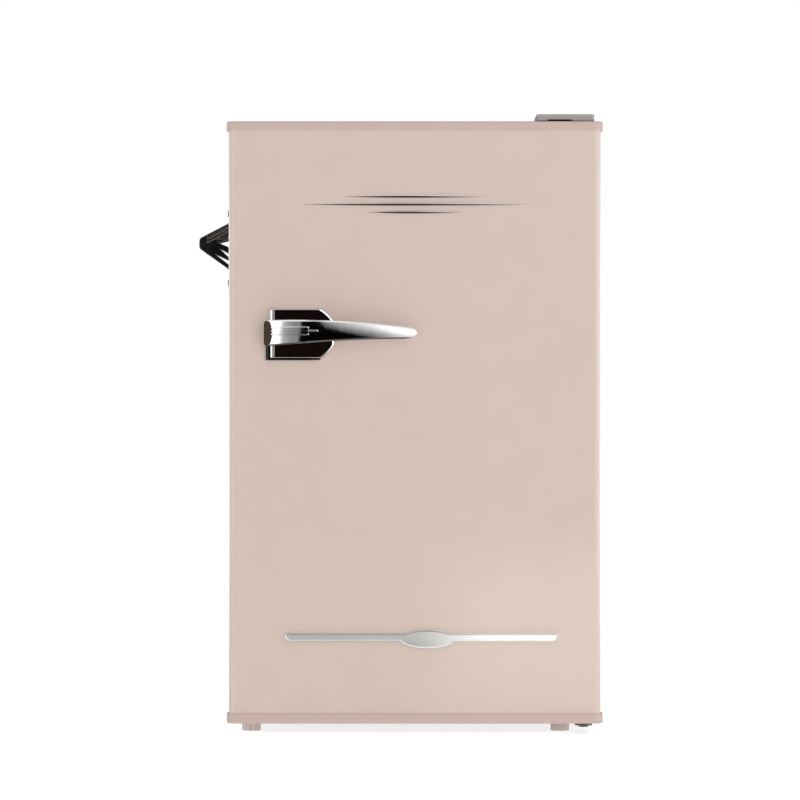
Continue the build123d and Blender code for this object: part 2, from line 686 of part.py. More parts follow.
save(chiller_flap.part, "chiller_flap")

TRAY_FRONT = CHILLER_FRONT - FRAME_BORDER
TRAY_BACK = CAVITY_BACK - SHELF_BACK_PLAY
SHELF_WIDTH = 2 * (CAVITY_HALF - SHELF_SIDE_PLAY)
with BuildPart() as drip_tray:
    with BuildSketch(level(TRAY_LEVEL)):
        with Locations((0, between(TRAY_FRONT, TRAY_BACK))):
            RectangleRounded(SHELF_WIDTH, TRAY_BACK - TRAY_FRONT, LINER_CORNER)
    extrude(amount=TRAY_HEIGHT)
    offset(amount=-TRAY_WALL, openings=drip_tray.faces().sort_by(Axis.Z)[-1])
save(drip_tray.part, "drip_tray")

# Thermostat: a housing in the top right corner, the switch in it, and the knob on its spindle
STAT_X = STAT_RIGHT - STAT_WIDTH / 2
STAT_TOP = CAVITY_TOP - FIT
KNOB_Z = STAT_TOP - KNOB_DROP
SWITCH_FRONT = CHILLER_FRONT + STAT_WALL
with BuildPart() as thermostat_housing:
    with BuildSketch(front_plane(CHILLER_FRONT)):
        with Locations((STAT_X, STAT_TOP - STAT_HEIGHT / 2)):
            RectangleRounded(STAT_WIDTH, STAT_HEIGHT, LINER_CORNER + STAT_WALL)
    extrude(amount=-STAT_DEPTH)
    fillet(thermostat_housing.faces().sort_by(Axis.Y)[0].edges(), STAT_WALL * 1.5)
    offset(amount=-STAT_WALL, openings=thermostat_housing.faces().sort_by(Axis.Y)[-1])
    with BuildSketch(front_plane(CHILLER_FRONT)):
        with Locations((STAT_X, KNOB_Z)):
            Circle(SPINDLE_RADIUS + RUNNING)
    extrude(amount=-STAT_WALL, mode=Mode.SUBTRACT)
save(thermostat_housing.part, "thermostat_housing")

with BuildPart() as thermostat_switch:
    with BuildSketch(front_plane(SWITCH_FRONT)):
        with Locations((STAT_X, KNOB_Z)):
            RectangleRounded(SWITCH_WIDTH, SWITCH_HEIGHT, STAT_WALL)
    extrude(amount=-SWITCH_DEPTH)
    with BuildSketch(front_plane(SWITCH_FRONT)):
        with Locations((STAT_X, KNOB_Z)):
            Circle(SPINDLE_RADIUS + RUNNING)
    extrude(amount=-SPINDLE_INSET, mode=Mode.SUBTRACT)
save(thermostat_switch.part, "thermostat_switch")

KNOB_BACK = CHILLER_FRONT - KNOB_GAP
KNOB_FRONT = KNOB_BACK - KNOB_DEPTH
with BuildPart() as thermostat_spindle:
    with BuildSketch(front_plane(SWITCH_FRONT + SPINDLE_INSET - FIT)):
        with Locations((STAT_X, KNOB_Z)):
            Circle(SPINDLE_RADIUS)
    extrude(amount=SWITCH_FRONT + SPINDLE_INSET - FIT - KNOB_FRONT - KNOB_DEPTH / 2)
save(thermostat_spindle.part, "thermostat_spindle")

with BuildPart() as thermostat_knob:
    with BuildSketch(front_plane(KNOB_BACK)):
        with Locations((STAT_X, KNOB_Z)):
            Circle(KNOB_RADIUS)
    extrude(amount=KNOB_DEPTH / 2)
    fillet(thermostat_knob.faces().sort_by(Axis.Y)[0].edges(), KNOB_DEPTH / 8)
    with BuildSketch(front_plane(KNOB_BACK - KNOB_DEPTH / 2)):
        with Locations((STAT_X, KNOB_Z)):
            SlotOverall(2 * KNOB_RADIUS - KNOB_DEPTH / 2, KNOB_DEPTH * 0.6, rotation=90)
    extrude(amount=KNOB_DEPTH / 2, taper=8)
    with BuildSketch(front_plane(KNOB_BACK)):
        with Locations((STAT_X, KNOB_Z)):
            Circle(SPINDLE_RADIUS)
    extrude(amount=KNOB_DEPTH / 2, mode=Mode.SUBTRACT)
save(thermostat_knob.part, "thermostat_knob")


# Shelves: a loose glass plate on the liner ledges with a clipped front trim
def glass_shelf(shelf_level):
    """Glass plate that lies on the ledges at one level."""
    with BuildPart() as shelf:
        with BuildSketch(level(shelf_level)):
            with Locations((0, between(SHELF_FRONT, TRAY_BACK))):
                RectangleRounded(SHELF_WIDTH, TRAY_BACK - SHELF_FRONT, SHELF_SIDE_PLAY)
        extrude(amount=GLASS)
    return shelf.part


def shelf_trim(shelf_level):
    """Channel that grips the front edge of a glass plate between the ledges."""
    half = CAVITY_HALF - LEDGE_REACH - TRIM_WALL
    with BuildPart() as trim:
        with BuildSketch(side_plane(-half)):
            with Locations((SHELF_FRONT + TRIM_LIP / 2, shelf_level + GLASS / 2)):
                RectangleRounded(TRIM_LIP + 2 * TRIM_WALL, GLASS + 2 * TRIM_WALL, TRIM_WALL)
            span(
                (SHELF_FRONT - RUNNING, SHELF_FRONT + 2 * TRIM_LIP),
                (shelf_level - RUNNING, shelf_level + GLASS + RUNNING),
                Mode.SUBTRACT,
            )
        extrude(amount=2 * half)
    return trim.part


save(glass_shelf(LOWER_SHELF_LEVEL), "lower_shelf")
save(glass_shelf(UPPER_SHELF_LEVEL), "upper_shelf")
save(shelf_trim(LOWER_SHELF_LEVEL), "lower_shelf_trim")
save(shelf_trim(UPPER_SHELF_LEVEL), "upper_shelf_trim")

# Machine compartment: compressor on rubber grommets, relay, drier, lines and evaporation tray
COMPRESSOR_TOP = COMPRESSOR_BASE + COMPRESSOR_HEIGHT
SEAM_Z = COMPRESSOR_BASE + COMPRESSOR_HEIGHT * 0.45
with BuildPart() as compressor:
    with BuildSketch(level(COMPRESSOR_BASE)):
        with Locations((COMPRESSOR_X, NICHE_MIDDLE)):
            RectangleRounded(COMPRESSOR_LENGTH, COMPRESSOR_WIDTH, COMPRESSOR_ROUND)
    extrude(amount=COMPRESSOR_HEIGHT)
    fillet(compressor.faces().sort_by(Axis.Z)[-1].edges(), COMPRESSOR_ROUND * 0.7)
    fillet(compressor.faces().sort_by(Axis.Z)[0].edges(), COMPRESSOR_ROUND * 0.3)
    with BuildSketch(level(SEAM_Z)):
        with Locations((COMPRESSOR_X, NICHE_MIDDLE)):
            RectangleRounded(
                COMPRESSOR_LENGTH + 2 * SEAM_REACH,
                COMPRESSOR_WIDTH + 2 * SEAM_REACH,
                COMPRESSOR_ROUND + SEAM_REACH,
            )
    extrude(amount=SEAM_REACH)
    with BuildSketch(level(COMPRESSOR_BASE - MOUNT_PLATE)):
        with Locations((COMPRESSOR_X, NICHE_MIDDLE)):
            RectangleRounded(
                MOUNT_SPACING_X + 2 * GROMMET_RADIUS,
                MOUNT_SPACING_Y + 2 * GROMMET_RADIUS,
                GROMMET_RADIUS,
            )
            with GridLocations(MOUNT_SPACING_X, MOUNT_SPACING_Y, 2, 2):
                Circle(MOUNT_BOLT + SCREW_PLAY, mode=Mode.SUBTRACT)
    extrude(amount=MOUNT_PLATE)
save(compressor.part, "compressor")

with BuildPart() as compressor_grommets:
    with BuildSketch(level(PAN_TOP)):
        with Locations((COMPRESSOR_X, NICHE_MIDDLE)):
            with GridLocations(MOUNT_SPACING_X, MOUNT_SPACING_Y, 2, 2):
                Circle(GROMMET_RADIUS)
                Circle(MOUNT_BOLT + SCREW_PLAY, mode=Mode.SUBTRACT)
    extrude(amount=GROMMET_HEIGHT)
save(compressor_grommets.part, "compressor_grommets")

with BuildPart() as compressor_bolts:
    with BuildSketch(level(FLOOR_GAP)):
        with Locations((COMPRESSOR_X, NICHE_MIDDLE)):
            with GridLocations(MOUNT_SPACING_X, MOUNT_SPACING_Y, 2, 2):
                Circle(MOUNT_BOLT)
    extrude(amount=COMPRESSOR_BASE - FLOOR_GAP)
    with BuildSketch(level(COMPRESSOR_BASE)):
        with Locations((COMPRESSOR_X, NICHE_MIDDLE)):
            with GridLocations(MOUNT_SPACING_X, MOUNT_SPACING_Y, 2, 2):
                RegularPolygon(2 * MOUNT_BOLT, 6)
    extrude(amount=MOUNT_BOLT)
save(compressor_bolts.part, "compressor_bolts")

RELAY_X = COMPRESSOR_X + COMPRESSOR_LENGTH / 2
with BuildPart() as start_relay:
    with BuildSketch(side_plane(RELAY_X)):
        with Locations((NICHE_MIDDLE, SEAM_Z - SEAM_REACH - RELAY_HEIGHT / 2)):
            RectangleRounded(RELAY_WIDTH, RELAY_HEIGHT, SEAM_REACH)
    extrude(amount=RELAY_REACH)
    fillet(start_relay.faces().sort_by(Axis.X)[-1].edges(), SEAM_REACH / 2)
    with BuildSketch(level(COMPRESSOR_BASE)):
        with Locations((COMPRESSOR_X, NICHE_MIDDLE)):
            RectangleRounded(COMPRESSOR_LENGTH, COMPRESSOR_WIDTH, COMPRESSOR_ROUND)
    extrude(amount=COMPRESSOR_HEIGHT, mode=Mode.SUBTRACT)
save(start_relay.part, "start_relay")

with BuildPart() as evaporation_tray:
    with BuildSketch(level(COMPRESSOR_TOP)):
        with Locations((COMPRESSOR_X, NICHE_MIDDLE)):
            RectangleRounded(COMPRESSOR_LENGTH, COMPRESSOR_WIDTH, LINER_CORNER)
    extrude(amount=EVAPORATION_TRAY)
    offset(amount=-TRAY_WALL, openings=evaporation_tray.faces().sort_by(Axis.Z)[-1])
save(evaporation_tray.part, "evaporation_tray")

with BuildPart() as drain_spout:
    with BuildSketch(level(NICHE_TOP)):
        with Locations((COMPRESSOR_X + COMPRESSOR_LENGTH / 4, NICHE_MIDDLE)):
            Circle(SPOUT_RADIUS)
            Circle(SPOUT_RADIUS - TRAY_WALL, mode=Mode.SUBTRACT)
    extrude(amount=-SPOUT_LENGTH)
save(drain_spout.part, "drain_spout")

DRIER_LOW = PAN_TOP + GROMMET_HEIGHT * 3
DRIER_HIGH = DRIER_LOW + DRIER_LENGTH
with BuildPart() as filter_drier:
    with BuildSketch(level(DRIER_LOW)):
        with Locations((DRIER_X, NICHE_MIDDLE)):
            Circle(DRIER_RADIUS)
    extrude(amount=DRIER_LENGTH)
    chamfer(filter_drier.edges().filter_by(GeomType.CIRCLE), DRIER_RADIUS * 1.2, DRIER_RADIUS * 0.5)
save(filter_drier.part, "filter_drier")

LINE_END = NICHE_FRONT + FIT
LINE_TURN = COMPRESSOR_X - COMPRESSOR_LENGTH / 2 - 7 * LINE_RADIUS
LINE_BEND = 4 * LINE_RADIUS
LINE_PATHS = (
    (
        (COMPRESSOR_X - COMPRESSOR_LENGTH / 2, NICHE_MIDDLE, COMPRESSOR_BASE + 0.3 * COMPRESSOR_HEIGHT),
        (LINE_TURN, NICHE_MIDDLE, COMPRESSOR_BASE + 0.3 * COMPRESSOR_HEIGHT),
        (LINE_TURN, LINE_END, COMPRESSOR_BASE + 0.3 * COMPRESSOR_HEIGHT),
    ),
    (
        (COMPRESSOR_X - COMPRESSOR_LENGTH / 2, NICHE_MIDDLE, COMPRESSOR_BASE + 0.6 * COMPRESSOR_HEIGHT),
        (LINE_TURN, NICHE_MIDDLE, COMPRESSOR_BASE + 0.6 * COMPRESSOR_HEIGHT),
        (LINE_TURN, LINE_END, COMPRESSOR_BASE + 0.6 * COMPRESSOR_HEIGHT),
    ),
    (
        (DRIER_X, NICHE_MIDDLE, DRIER_LOW),
        (DRIER_X, NICHE_MIDDLE, DRIER_LOW - 2 * LINE_BEND),
        (DRIER_X, LINE_END, DRIER_LOW - 2 * LINE_BEND),
    ),
    (
        (DRIER_X, NICHE_MIDDLE, DRIER_HIGH),
        (DRIER_X, NICHE_MIDDLE, DRIER_HIGH + 1.3 * LINE_BEND),
        (DRIER_X, LINE_END, DRIER_HIGH + 1.3 * LINE_BEND),
    ),
)
with BuildPart() as refrigerant_lines:
    for start, corner, end in LINE_PATHS:
        with BuildLine() as route:
            FilletPolyline(start, corner, end, radius=LINE_BEND)
        with BuildSketch(Plane(origin=start, z_dir=Vector(corner) - Vector(start))):
            Circle(LINE_RADIUS)
        sweep(path=route.wires()[0])
save(refrigerant_lines.part, "refrigerant_lines")


# Feet: two levelling feet in front on weld nuts, two plain feet behind
def levelling_foot(foot_x):
    """Fluted foot with a shoulder under the pan and a stud through the weld nut."""
    shoulder = FLOOR_GAP - FIT
    with BuildPart() as foot:
        with BuildSketch():
            with Locations((foot_x, FOOT_Y)):
                Circle(FOOT_RADIUS)
                with PolarLocations(FOOT_RADIUS, FOOT_FLUTES):
                    Circle(FOOT_RADIUS / 10, mode=Mode.SUBTRACT)
        extrude(amount=FOOT_PAD)
        with BuildSketch(level(FOOT_PAD)):
            with Locations((foot_x, FOOT_Y)):
                Circle(NUT_RADIUS)
        extrude(amount=shoulder - FOOT_PAD)
        with BuildSketch(level(shoulder)):
            with Locations((foot_x, FOOT_Y)):
                Circle(STUD_RADIUS)
        extrude(amount=STUD_LENGTH)
    return foot.part


save(levelling_foot(LEFT_FOOT_X), "front_left_foot")
save(levelling_foot(RIGHT_FOOT_X), "front_right_foot")

with BuildPart() as foot_nuts:
    with BuildSketch(level(PAN_TOP)):
        with Locations((LEFT_FOOT_X, FOOT_Y), (RIGHT_FOOT_X, FOOT_Y)):
            RegularPolygon(NUT_RADIUS, 6)
            Circle(STUD_RADIUS + RUNNING, mode=Mode.SUBTRACT)
    extrude(amount=NUT_HEIGHT)
save(foot_nuts.part, "foot_nuts")

with BuildPart() as rear_feet:
    with BuildSketch():
        with Locations((-REAR_FOOT_X, REAR_FOOT_Y), (REAR_FOOT_X, REAR_FOOT_Y)):
            Circle(REAR_FOOT_RADIUS)
    extrude(amount=FLOOR_GAP)
save(rear_feet.part, "rear_feet")

# Hinges: brackets, pins, screws, washer and the cover on top
TOP_TONGUE = DOOR_TOP + HINGE_CLEARANCE
BOTTOM_TONGUE = DOOR_BOTTOM - HINGE_CLEARANCE - BRACKET
TONGUE_SIDES = (HINGE_X - BRACKET_HALF, HINGE_X + BRACKET_HALF)
with BuildPart() as top_hinge_bracket:
    with BuildSketch(level(CABINET_TOP)):
        span((BRACKET_LEFT, TONGUE_SIDES[1]), (RISER_Y, BRACKET_BACK))
        with Locations((TOP_SCREW_X, TOP_SCREW_Y)):
            with GridLocations(TOP_SCREW_PITCH, 0, 3, 1):
                Circle(SCREW_RADIUS + SCREW_PLAY, mode=Mode.SUBTRACT)
    extrude(amount=BRACKET)
    with BuildSketch(side_plane(TONGUE_SIDES[0])):
        span((RISER_Y, RISER_Y + BRACKET), (CABINET_TOP, TOP_TONGUE + BRACKET))
    extrude(amount=2 * BRACKET_HALF)
    with BuildSketch(level(TOP_TONGUE)):
        span(TONGUE_SIDES, (HINGE_Y, RISER_Y + BRACKET))
        with Locations((HINGE_X, HINGE_Y)):
            Circle(BRACKET_HALF)
            Circle(PIN_RADIUS + RUNNING, mode=Mode.SUBTRACT)
    extrude(amount=BRACKET)
save(top_hinge_bracket.part, "top_hinge_bracket")

with BuildPart() as bottom_hinge_bracket:
    with BuildSketch(level(FLOOR_GAP - BRACKET)):
        span(TONGUE_SIDES, (RISER_Y, BOTTOM_BRACKET_BACK))
        with Locations((HINGE_X, BOTTOM_SCREW_Y)):
            with GridLocations(0, BOTTOM_SCREW_PITCH, 1, 2):
                Circle(SCREW_RADIUS + SCREW_PLAY, mode=Mode.SUBTRACT)
    extrude(amount=BRACKET)
    with BuildSketch(side_plane(TONGUE_SIDES[0])):
        span((RISER_Y, RISER_Y + BRACKET), (BOTTOM_TONGUE, FLOOR_GAP))
    extrude(amount=2 * BRACKET_HALF)
    with BuildSketch(level(BOTTOM_TONGUE)):
        span(TONGUE_SIDES, (HINGE_Y, RISER_Y + BRACKET))
        with Locations((HINGE_X, HINGE_Y)):
            Circle(BRACKET_HALF)
            Circle(PIN_RADIUS + RUNNING, mode=Mode.SUBTRACT)
    extrude(amount=BRACKET)
save(bottom_hinge_bracket.part, "bottom_hinge_bracket")


def hinge_pin(tip, seat):
    """Headed pin from its tip inside the door to the far face of its bracket."""
    outwards = 1 if seat > tip else -1
    with BuildPart() as pin:
        with BuildSketch(level(tip)):
            with Locations((HINGE_X, HINGE_Y)):
                Circle(PIN_RADIUS)
        extrude(amount=seat - tip)
        with BuildSketch(level(seat)):
            with Locations((HINGE_X, HINGE_Y)):
                Circle(PIN_HEAD_RADIUS)
        extrude(amount=outwards * PIN_HEAD)
    return pin.part


save(hinge_pin(DOOR_TOP - PIN_REACH, TOP_TONGUE + BRACKET), "top_hinge_pin")
save(hinge_pin(DOOR_BOTTOM + PIN_REACH, BOTTOM_TONGUE), "bottom_hinge_pin")

with BuildPart() as hinge_washer:
    with BuildSketch(level(BOTTOM_TONGUE + BRACKET)):
        with Locations((HINGE_X, HINGE_Y)):
            Circle(2 * PIN_RADIUS)
            Circle(PIN_RADIUS + SCREW_PLAY, mode=Mode.SUBTRACT)
    extrude(amount=HINGE_CLEARANCE - RUNNING)
save(hinge_washer.part, "hinge_washer")

with BuildPart() as top_hinge_screws:
    with BuildSketch(level(CABINET_TOP - SHEET)):
        with Locations((TOP_SCREW_X, TOP_SCREW_Y)):
            with GridLocations(TOP_SCREW_PITCH, 0, 3, 1):
                Circle(SCREW_RADIUS)
    extrude(amount=SHEET + BRACKET)
    with BuildSketch(level(CABINET_TOP + BRACKET)):
        with Locations((TOP_SCREW_X, TOP_SCREW_Y)):
            with GridLocations(TOP_SCREW_PITCH, 0, 3, 1):
                Circle(SCREW_HEAD_RADIUS)
    extrude(amount=SCREW_HEAD)
save(top_hinge_screws.part, "top_hinge_screws")

with BuildPart() as bottom_hinge_screws:
    with BuildSketch(level(PAN_TOP)):
        with Locations((HINGE_X, BOTTOM_SCREW_Y)):
            with GridLocations(0, BOTTOM_SCREW_PITCH, 1, 2):
                Circle(SCREW_RADIUS)
    extrude(amount=FLOOR_GAP - BRACKET - PAN_TOP)
    with BuildSketch(level(FLOOR_GAP - BRACKET)):
        with Locations((HINGE_X, BOTTOM_SCREW_Y)):
            with GridLocations(0, BOTTOM_SCREW_PITCH, 1, 2):
                Circle(SCREW_HEAD_RADIUS)
    extrude(amount=-SCREW_HEAD)
save(bottom_hinge_screws.part, "bottom_hinge_screws")

COVER_NOSE = HINGE_Y - COVER_FRONT
COVER_LOW = TOP_TONGUE + FIT
COVER_MIDDLE = (between(COVER_LEFT, COVER_RIGHT), between(COVER_NOSE, COVER_BACK))
with BuildPart() as top_hinge_cover:
    with BuildSketch(level(CABINET_TOP)):
        with Locations(COVER_MIDDLE):
            RectangleRounded(COVER_RIGHT - COVER_LEFT, COVER_BACK - COVER_NOSE, COVER_ROUND)
    extrude(amount=COVER_HEIGHT)
    fillet(top_hinge_cover.faces().sort_by(Axis.Z)[-1].edges(), COVER_ROUND / 2)
    with BuildSketch(level(CABINET_TOP)):
        with Locations(COVER_MIDDLE):
            RectangleRounded(
                COVER_RIGHT - COVER_LEFT - 2 * COVER_WALL,
                COVER_BACK - COVER_NOSE - 2 * COVER_WALL,
                COVER_ROUND - COVER_WALL,
            )
    extrude(amount=COVER_HEIGHT - COVER_WALL, mode=Mode.SUBTRACT)
    with BuildSketch(side_plane(COVER_LEFT)):
        span((COVER_NOSE, RISER_Y - FIT), (CABINET_TOP, COVER_LOW))
    extrude(amount=COVER_RIGHT - COVER_LEFT, mode=Mode.SUBTRACT)
    with BuildSketch(front_plane(COVER_NOSE)):
        with Locations((COVER_LEFT + COVER_SLOT_WIDTH, COVER_LOW + COVER_SLOT_HEIGHT / 2)):
            Rectangle(COVER_SLOT_WIDTH, COVER_SLOT_HEIGHT)
    extrude(amount=-COVER_WALL, mode=Mode.SUBTRACT)
save(top_hinge_cover.part, "top_hinge_cover")

# Door shell: bent steel panel between two moulded end caps, filled with foam
PANEL_INSIDE = PANEL_HALF - SHEET
PLUG_SIDES = (FIT - PANEL_INSIDE, PANEL_INSIDE - FIT)
PLUG_DEPTH = (DOOR_FRONT + SHEET + FIT, DOOR_BACK - LINER - FIT)
HANDLE_SCREWS = [(HANDLE_X + side * HANDLE_SCREW_PITCH / 2, HANDLE_Z) for side in (-1, 1)]
with BuildPart() as door_panel:
    with BuildSketch(level(PANEL_LOW)) as skin:
        span((-PANEL_HALF, PANEL_HALF), (DOOR_FRONT, DOOR_BACK))
        fillet(skin.vertices().group_by(Axis.Y)[0], PANEL_BEND)
    extrude(amount=PANEL_HIGH - PANEL_LOW)
    with BuildSketch(level(PANEL_LOW)) as inside:
        span((-PANEL_INSIDE, PANEL_INSIDE), (DOOR_FRONT + SHEET, DOOR_BACK))
        fillet(inside.vertices().group_by(Axis.Y)[0], PANEL_BEND - SHEET)
    extrude(amount=PANEL_HIGH - PANEL_LOW, mode=Mode.SUBTRACT)
    with BuildSketch(front_plane(DOOR_FRONT)):
        with Locations(*HANDLE_SCREWS):
            Circle(SCREW_RADIUS + SCREW_PLAY)
    extrude(amount=-SHEET, mode=Mode.SUBTRACT)
save(door_panel.part, "door_panel")

BUSH_RADIUS = PIN_RADIUS + RUNNING + BUSH_WALL
BUSH_LENGTH = PIN_REACH + BUSH_FLOOR


def door_cap(seam, outside):
    """End cap with a hollow plug inside the panel and a boss for the hinge bush."""
    outwards = 1 if outside > seam else -1
    plug_end = seam - outwards * CAP_PLUG
    with BuildPart() as cap:
        with BuildSketch(level(seam)) as outline:
            span((-CAP_HALF, CAP_HALF), (DOOR_FRONT - CAP_PROUD, DOOR_BACK))
            fillet(outline.vertices().group_by(Axis.Y)[0], CAP_FRONT_ROUND)
            fillet(outline.vertices().group_by(Axis.Y)[-1], CAP_BACK_ROUND)
        extrude(amount=outside - seam)
        fillet(cap.faces().filter_by_position(Axis.Z, outside, outside).edges(), CAP_EDGE)
        with BuildSketch(level(seam)) as plug:
            span(PLUG_SIDES, PLUG_DEPTH)
            fillet(plug.vertices().group_by(Axis.Y)[0], PANEL_BEND)
        extrude(amount=plug_end - seam)
        with BuildSketch(level(plug_end)) as hollow:
            span(
                (PLUG_SIDES[0] + CAP_WALL, PLUG_SIDES[1] - CAP_WALL),
                (PLUG_DEPTH[0] + CAP_WALL, PLUG_DEPTH[1] - CAP_WALL),
            )
            fillet(hollow.vertices().group_by(Axis.Y)[0], PANEL_BEND - CAP_WALL)
        extrude(amount=outside - outwards * CAP_WALL - plug_end, mode=Mode.SUBTRACT)
        with BuildSketch(level(plug_end)):
            with Locations((HINGE_X, HINGE_Y)):
                Circle(BUSH_RADIUS + CAP_WALL)
        extrude(amount=outside - outwards * CAP_WALL - plug_end)
        with BuildSketch(level(outside)):
            with Locations((HINGE_X, HINGE_Y)):
                Circle(BUSH_RADIUS)
        extrude(amount=-outwards * BUSH_LENGTH, mode=Mode.SUBTRACT)
    return cap.part


save(door_cap(PANEL_HIGH, DOOR_TOP), "door_top_cap")
save(door_cap(PANEL_LOW, DOOR_BOTTOM), "door_bottom_cap")

with BuildPart() as hinge_bushes:
    with BuildSketch(level(DOOR_BOTTOM), level(DOOR_TOP - BUSH_LENGTH)):
        with Locations((HINGE_X, HINGE_Y)):
            Circle(BUSH_RADIUS)
            Circle(PIN_RADIUS + RUNNING, mode=Mode.SUBTRACT)
    extrude(amount=BUSH_LENGTH)
save(hinge_bushes.part, "hinge_bushes")

with BuildPart() as door_foam:
    with BuildSketch(level(PANEL_LOW + CAP_PLUG + FIT)) as core:
        span(PLUG_SIDES, PLUG_DEPTH)
        fillet(core.vertices().group_by(Axis.Y)[0], PANEL_BEND)
    extrude(amount=PANEL_HIGH - PANEL_LOW - 2 * (CAP_PLUG + FIT))
    with BuildSketch(front_plane(DOOR_FRONT + SHEET)):
        with Locations(*HANDLE_SCREWS):
            Circle(SCREW_HEAD_RADIUS + FIT)
    extrude(amount=-(SCREW_HEAD + FIT), mode=Mode.SUBTRACT)
save(door_foam.part, "door_foam")

# Door inside: liner with a raised hollow dam, bins on its lugs, gasket with magnet strips
DAM_HALF = CAVITY_HALF - DAM_SIDE_GAP
DAM_LOW = CAVITY_FLOOR + DAM_END_GAP
DAM_HIGH = CAVITY_TOP - DAM_END_GAP
DAM_INSIDE = DAM_HALF - DAM_WIDTH
DAM_MIDDLE = (0, between(DAM_LOW, DAM_HIGH))
DAM_HEIGHT = DAM_HIGH - DAM_LOW
BINS = {  # bottom, height and reach into the cabinet at the sides
    "lower_door_bin": (DAM_LOW + DAM_WIDTH + BIN_RISE, LOWER_BIN_HEIGHT, LOWER_BIN_REACH),
    "middle_door_bin": (DAM_LOW + MIDDLE_BIN_SHARE * DAM_HEIGHT, UPPER_BIN_HEIGHT, MIDDLE_BIN_REACH),
    "upper_door_bin": (DAM_LOW + UPPER_BIN_SHARE * DAM_HEIGHT, UPPER_BIN_HEIGHT, UPPER_BIN_REACH),
}
with BuildPart() as door_liner:
    with BuildSketch(front_plane(DOOR_BACK)):
        with Locations(DAM_MIDDLE):
            RectangleRounded(2 * DAM_HALF, DAM_HEIGHT, DAM_WIDTH)
            RectangleRounded(2 * DAM_INSIDE, DAM_HEIGHT - 2 * DAM_WIDTH, DAM_ROUND, mode=Mode.SUBTRACT)
    extrude(amount=-DAM_REACH)
    fillet(door_liner.faces().sort_by(Axis.Y)[-1].edges(), DAM_ROUND)
    with BuildSketch(front_plane(DOOR_BACK)):
        span(PLUG_SIDES, (PANEL_LOW + FIT, PANEL_HIGH - FIT))
    extrude(amount=LINER)
    with BuildSketch(front_plane(DOOR_BACK - LINER)):
        with Locations(DAM_MIDDLE):
            RectangleRounded(2 * (DAM_HALF - LINER), DAM_HEIGHT - 2 * LINER, DAM_WIDTH - LINER)
            RectangleRounded(
                2 * (DAM_INSIDE + LINER),
                DAM_HEIGHT - 2 * (DAM_WIDTH - LINER),
                DAM_ROUND + LINER,
                mode=Mode.SUBTRACT,
            )
    extrude(amount=-DAM_REACH, mode=Mode.SUBTRACT)
    for side in (-1, 1):
        with BuildSketch(front_plane(DOOR_BACK)):
            lug_x = side * (DAM_INSIDE + between(LINER / 2, -LUG_REACH))
            for bottom, height, reach in BINS.values():
                with Locations((lug_x, bottom - LUG_HEIGHT / 2)):
                    Rectangle(LUG_REACH + LINER / 2, LUG_HEIGHT)
        extrude(amount=-(DAM_REACH - DAM_ROUND))
save(door_liner.part, "door_liner")


def door_bin(bottom, height, reach):
    """Open bin with a bowed front that rests on the lugs of the dam."""
    half = DAM_INSIDE - BIN_PLAY
    back = DOOR_BACK + FIT
    with BuildPart() as bin_tray:
        with BuildSketch(level(bottom)) as outline:
            with BuildLine():
                Polyline((-half, reach), (-half, back), (half, back), (half, reach))
                ThreePointArc((-half, reach), (0, reach + BIN_BOW), (half, reach))
            make_face()
            fillet(outline.vertices().group_by(Axis.Y)[-1], BIN_ROUND)
        extrude(amount=height)
        fillet(bin_tray.faces().sort_by(Axis.Z)[0].edges(), 2 * BIN_WALL)
        offset(amount=-BIN_WALL, openings=bin_tray.faces().sort_by(Axis.Z)[-1])
    return bin_tray.part


for bin_name, bin_size in BINS.items():
    save(door_bin(*bin_size), bin_name)

GASKET_HALF = HALF - GASKET_EDGE
GASKET_LOW = FLOOR_GAP + GASKET_EDGE
GASKET_HIGH = CABINET_TOP - GASKET_EDGE


def gasket_band(inset, width):
    """Sketch ring that follows the door edge, inset from the gasket's outline."""
    with BuildSketch(mode=Mode.PRIVATE) as band:
        with Locations((0, between(GASKET_LOW, GASKET_HIGH))):
            Rectangle(2 * (GASKET_HALF - inset), GASKET_HIGH - GASKET_LOW - 2 * inset)
            Rectangle(
                2 * (GASKET_HALF - inset - width),
                GASKET_HIGH - GASKET_LOW - 2 * (inset + width),
                mode=Mode.SUBTRACT,
            )
    return band.sketch


MAGNET_INSET = (GASKET_WIDTH - MAGNET_WIDTH) / 2
MAGNET_BACK = -(GASKET_FACE_GAP + MAGNET_COVER + MAGNET_THICK)
with BuildPart() as door_gasket:
    with BuildSketch(front_plane(DOOR_BACK)):
        add(gasket_band(MAGNET_INSET, MAGNET_WIDTH))
    extrude(amount=-GASKET_FOOT)
    with BuildSketch(front_plane(DOOR_BACK + GASKET_FOOT)):
        add(gasket_band(0, GASKET_WIDTH))
    extrude(amount=-(DOOR_GAP - GASKET_FOOT - GASKET_FACE_GAP))
    with BuildSketch(front_plane(MAGNET_BACK - RUNNING)):
        add(gasket_band(MAGNET_INSET - RUNNING, MAGNET_WIDTH + 2 * RUNNING))
    extrude(amount=-(MAGNET_THICK + 2 * RUNNING), mode=Mode.SUBTRACT)
save(door_gasket.part, "door_gasket")

MAGNET_X = GASKET_HALF - GASKET_WIDTH / 2
MAGNET_Z = (GASKET_HIGH - GASKET_LOW - GASKET_WIDTH) / 2
with BuildPart() as gasket_magnets:
    with BuildSketch(front_plane(MAGNET_BACK)):
        with Locations((0, between(GASKET_LOW, GASKET_HIGH))):
            with GridLocations(2 * MAGNET_X, 0, 2, 1):
                Rectangle(MAGNET_WIDTH, 2 * MAGNET_Z - GASKET_WIDTH)
            with GridLocations(0, 2 * MAGNET_Z, 1, 2):
                Rectangle(2 * MAGNET_X - GASKET_WIDTH, MAGNET_WIDTH)
    extrude(amount=-MAGNET_THICK)
save(gasket_magnets.part, "gasket_magnets")

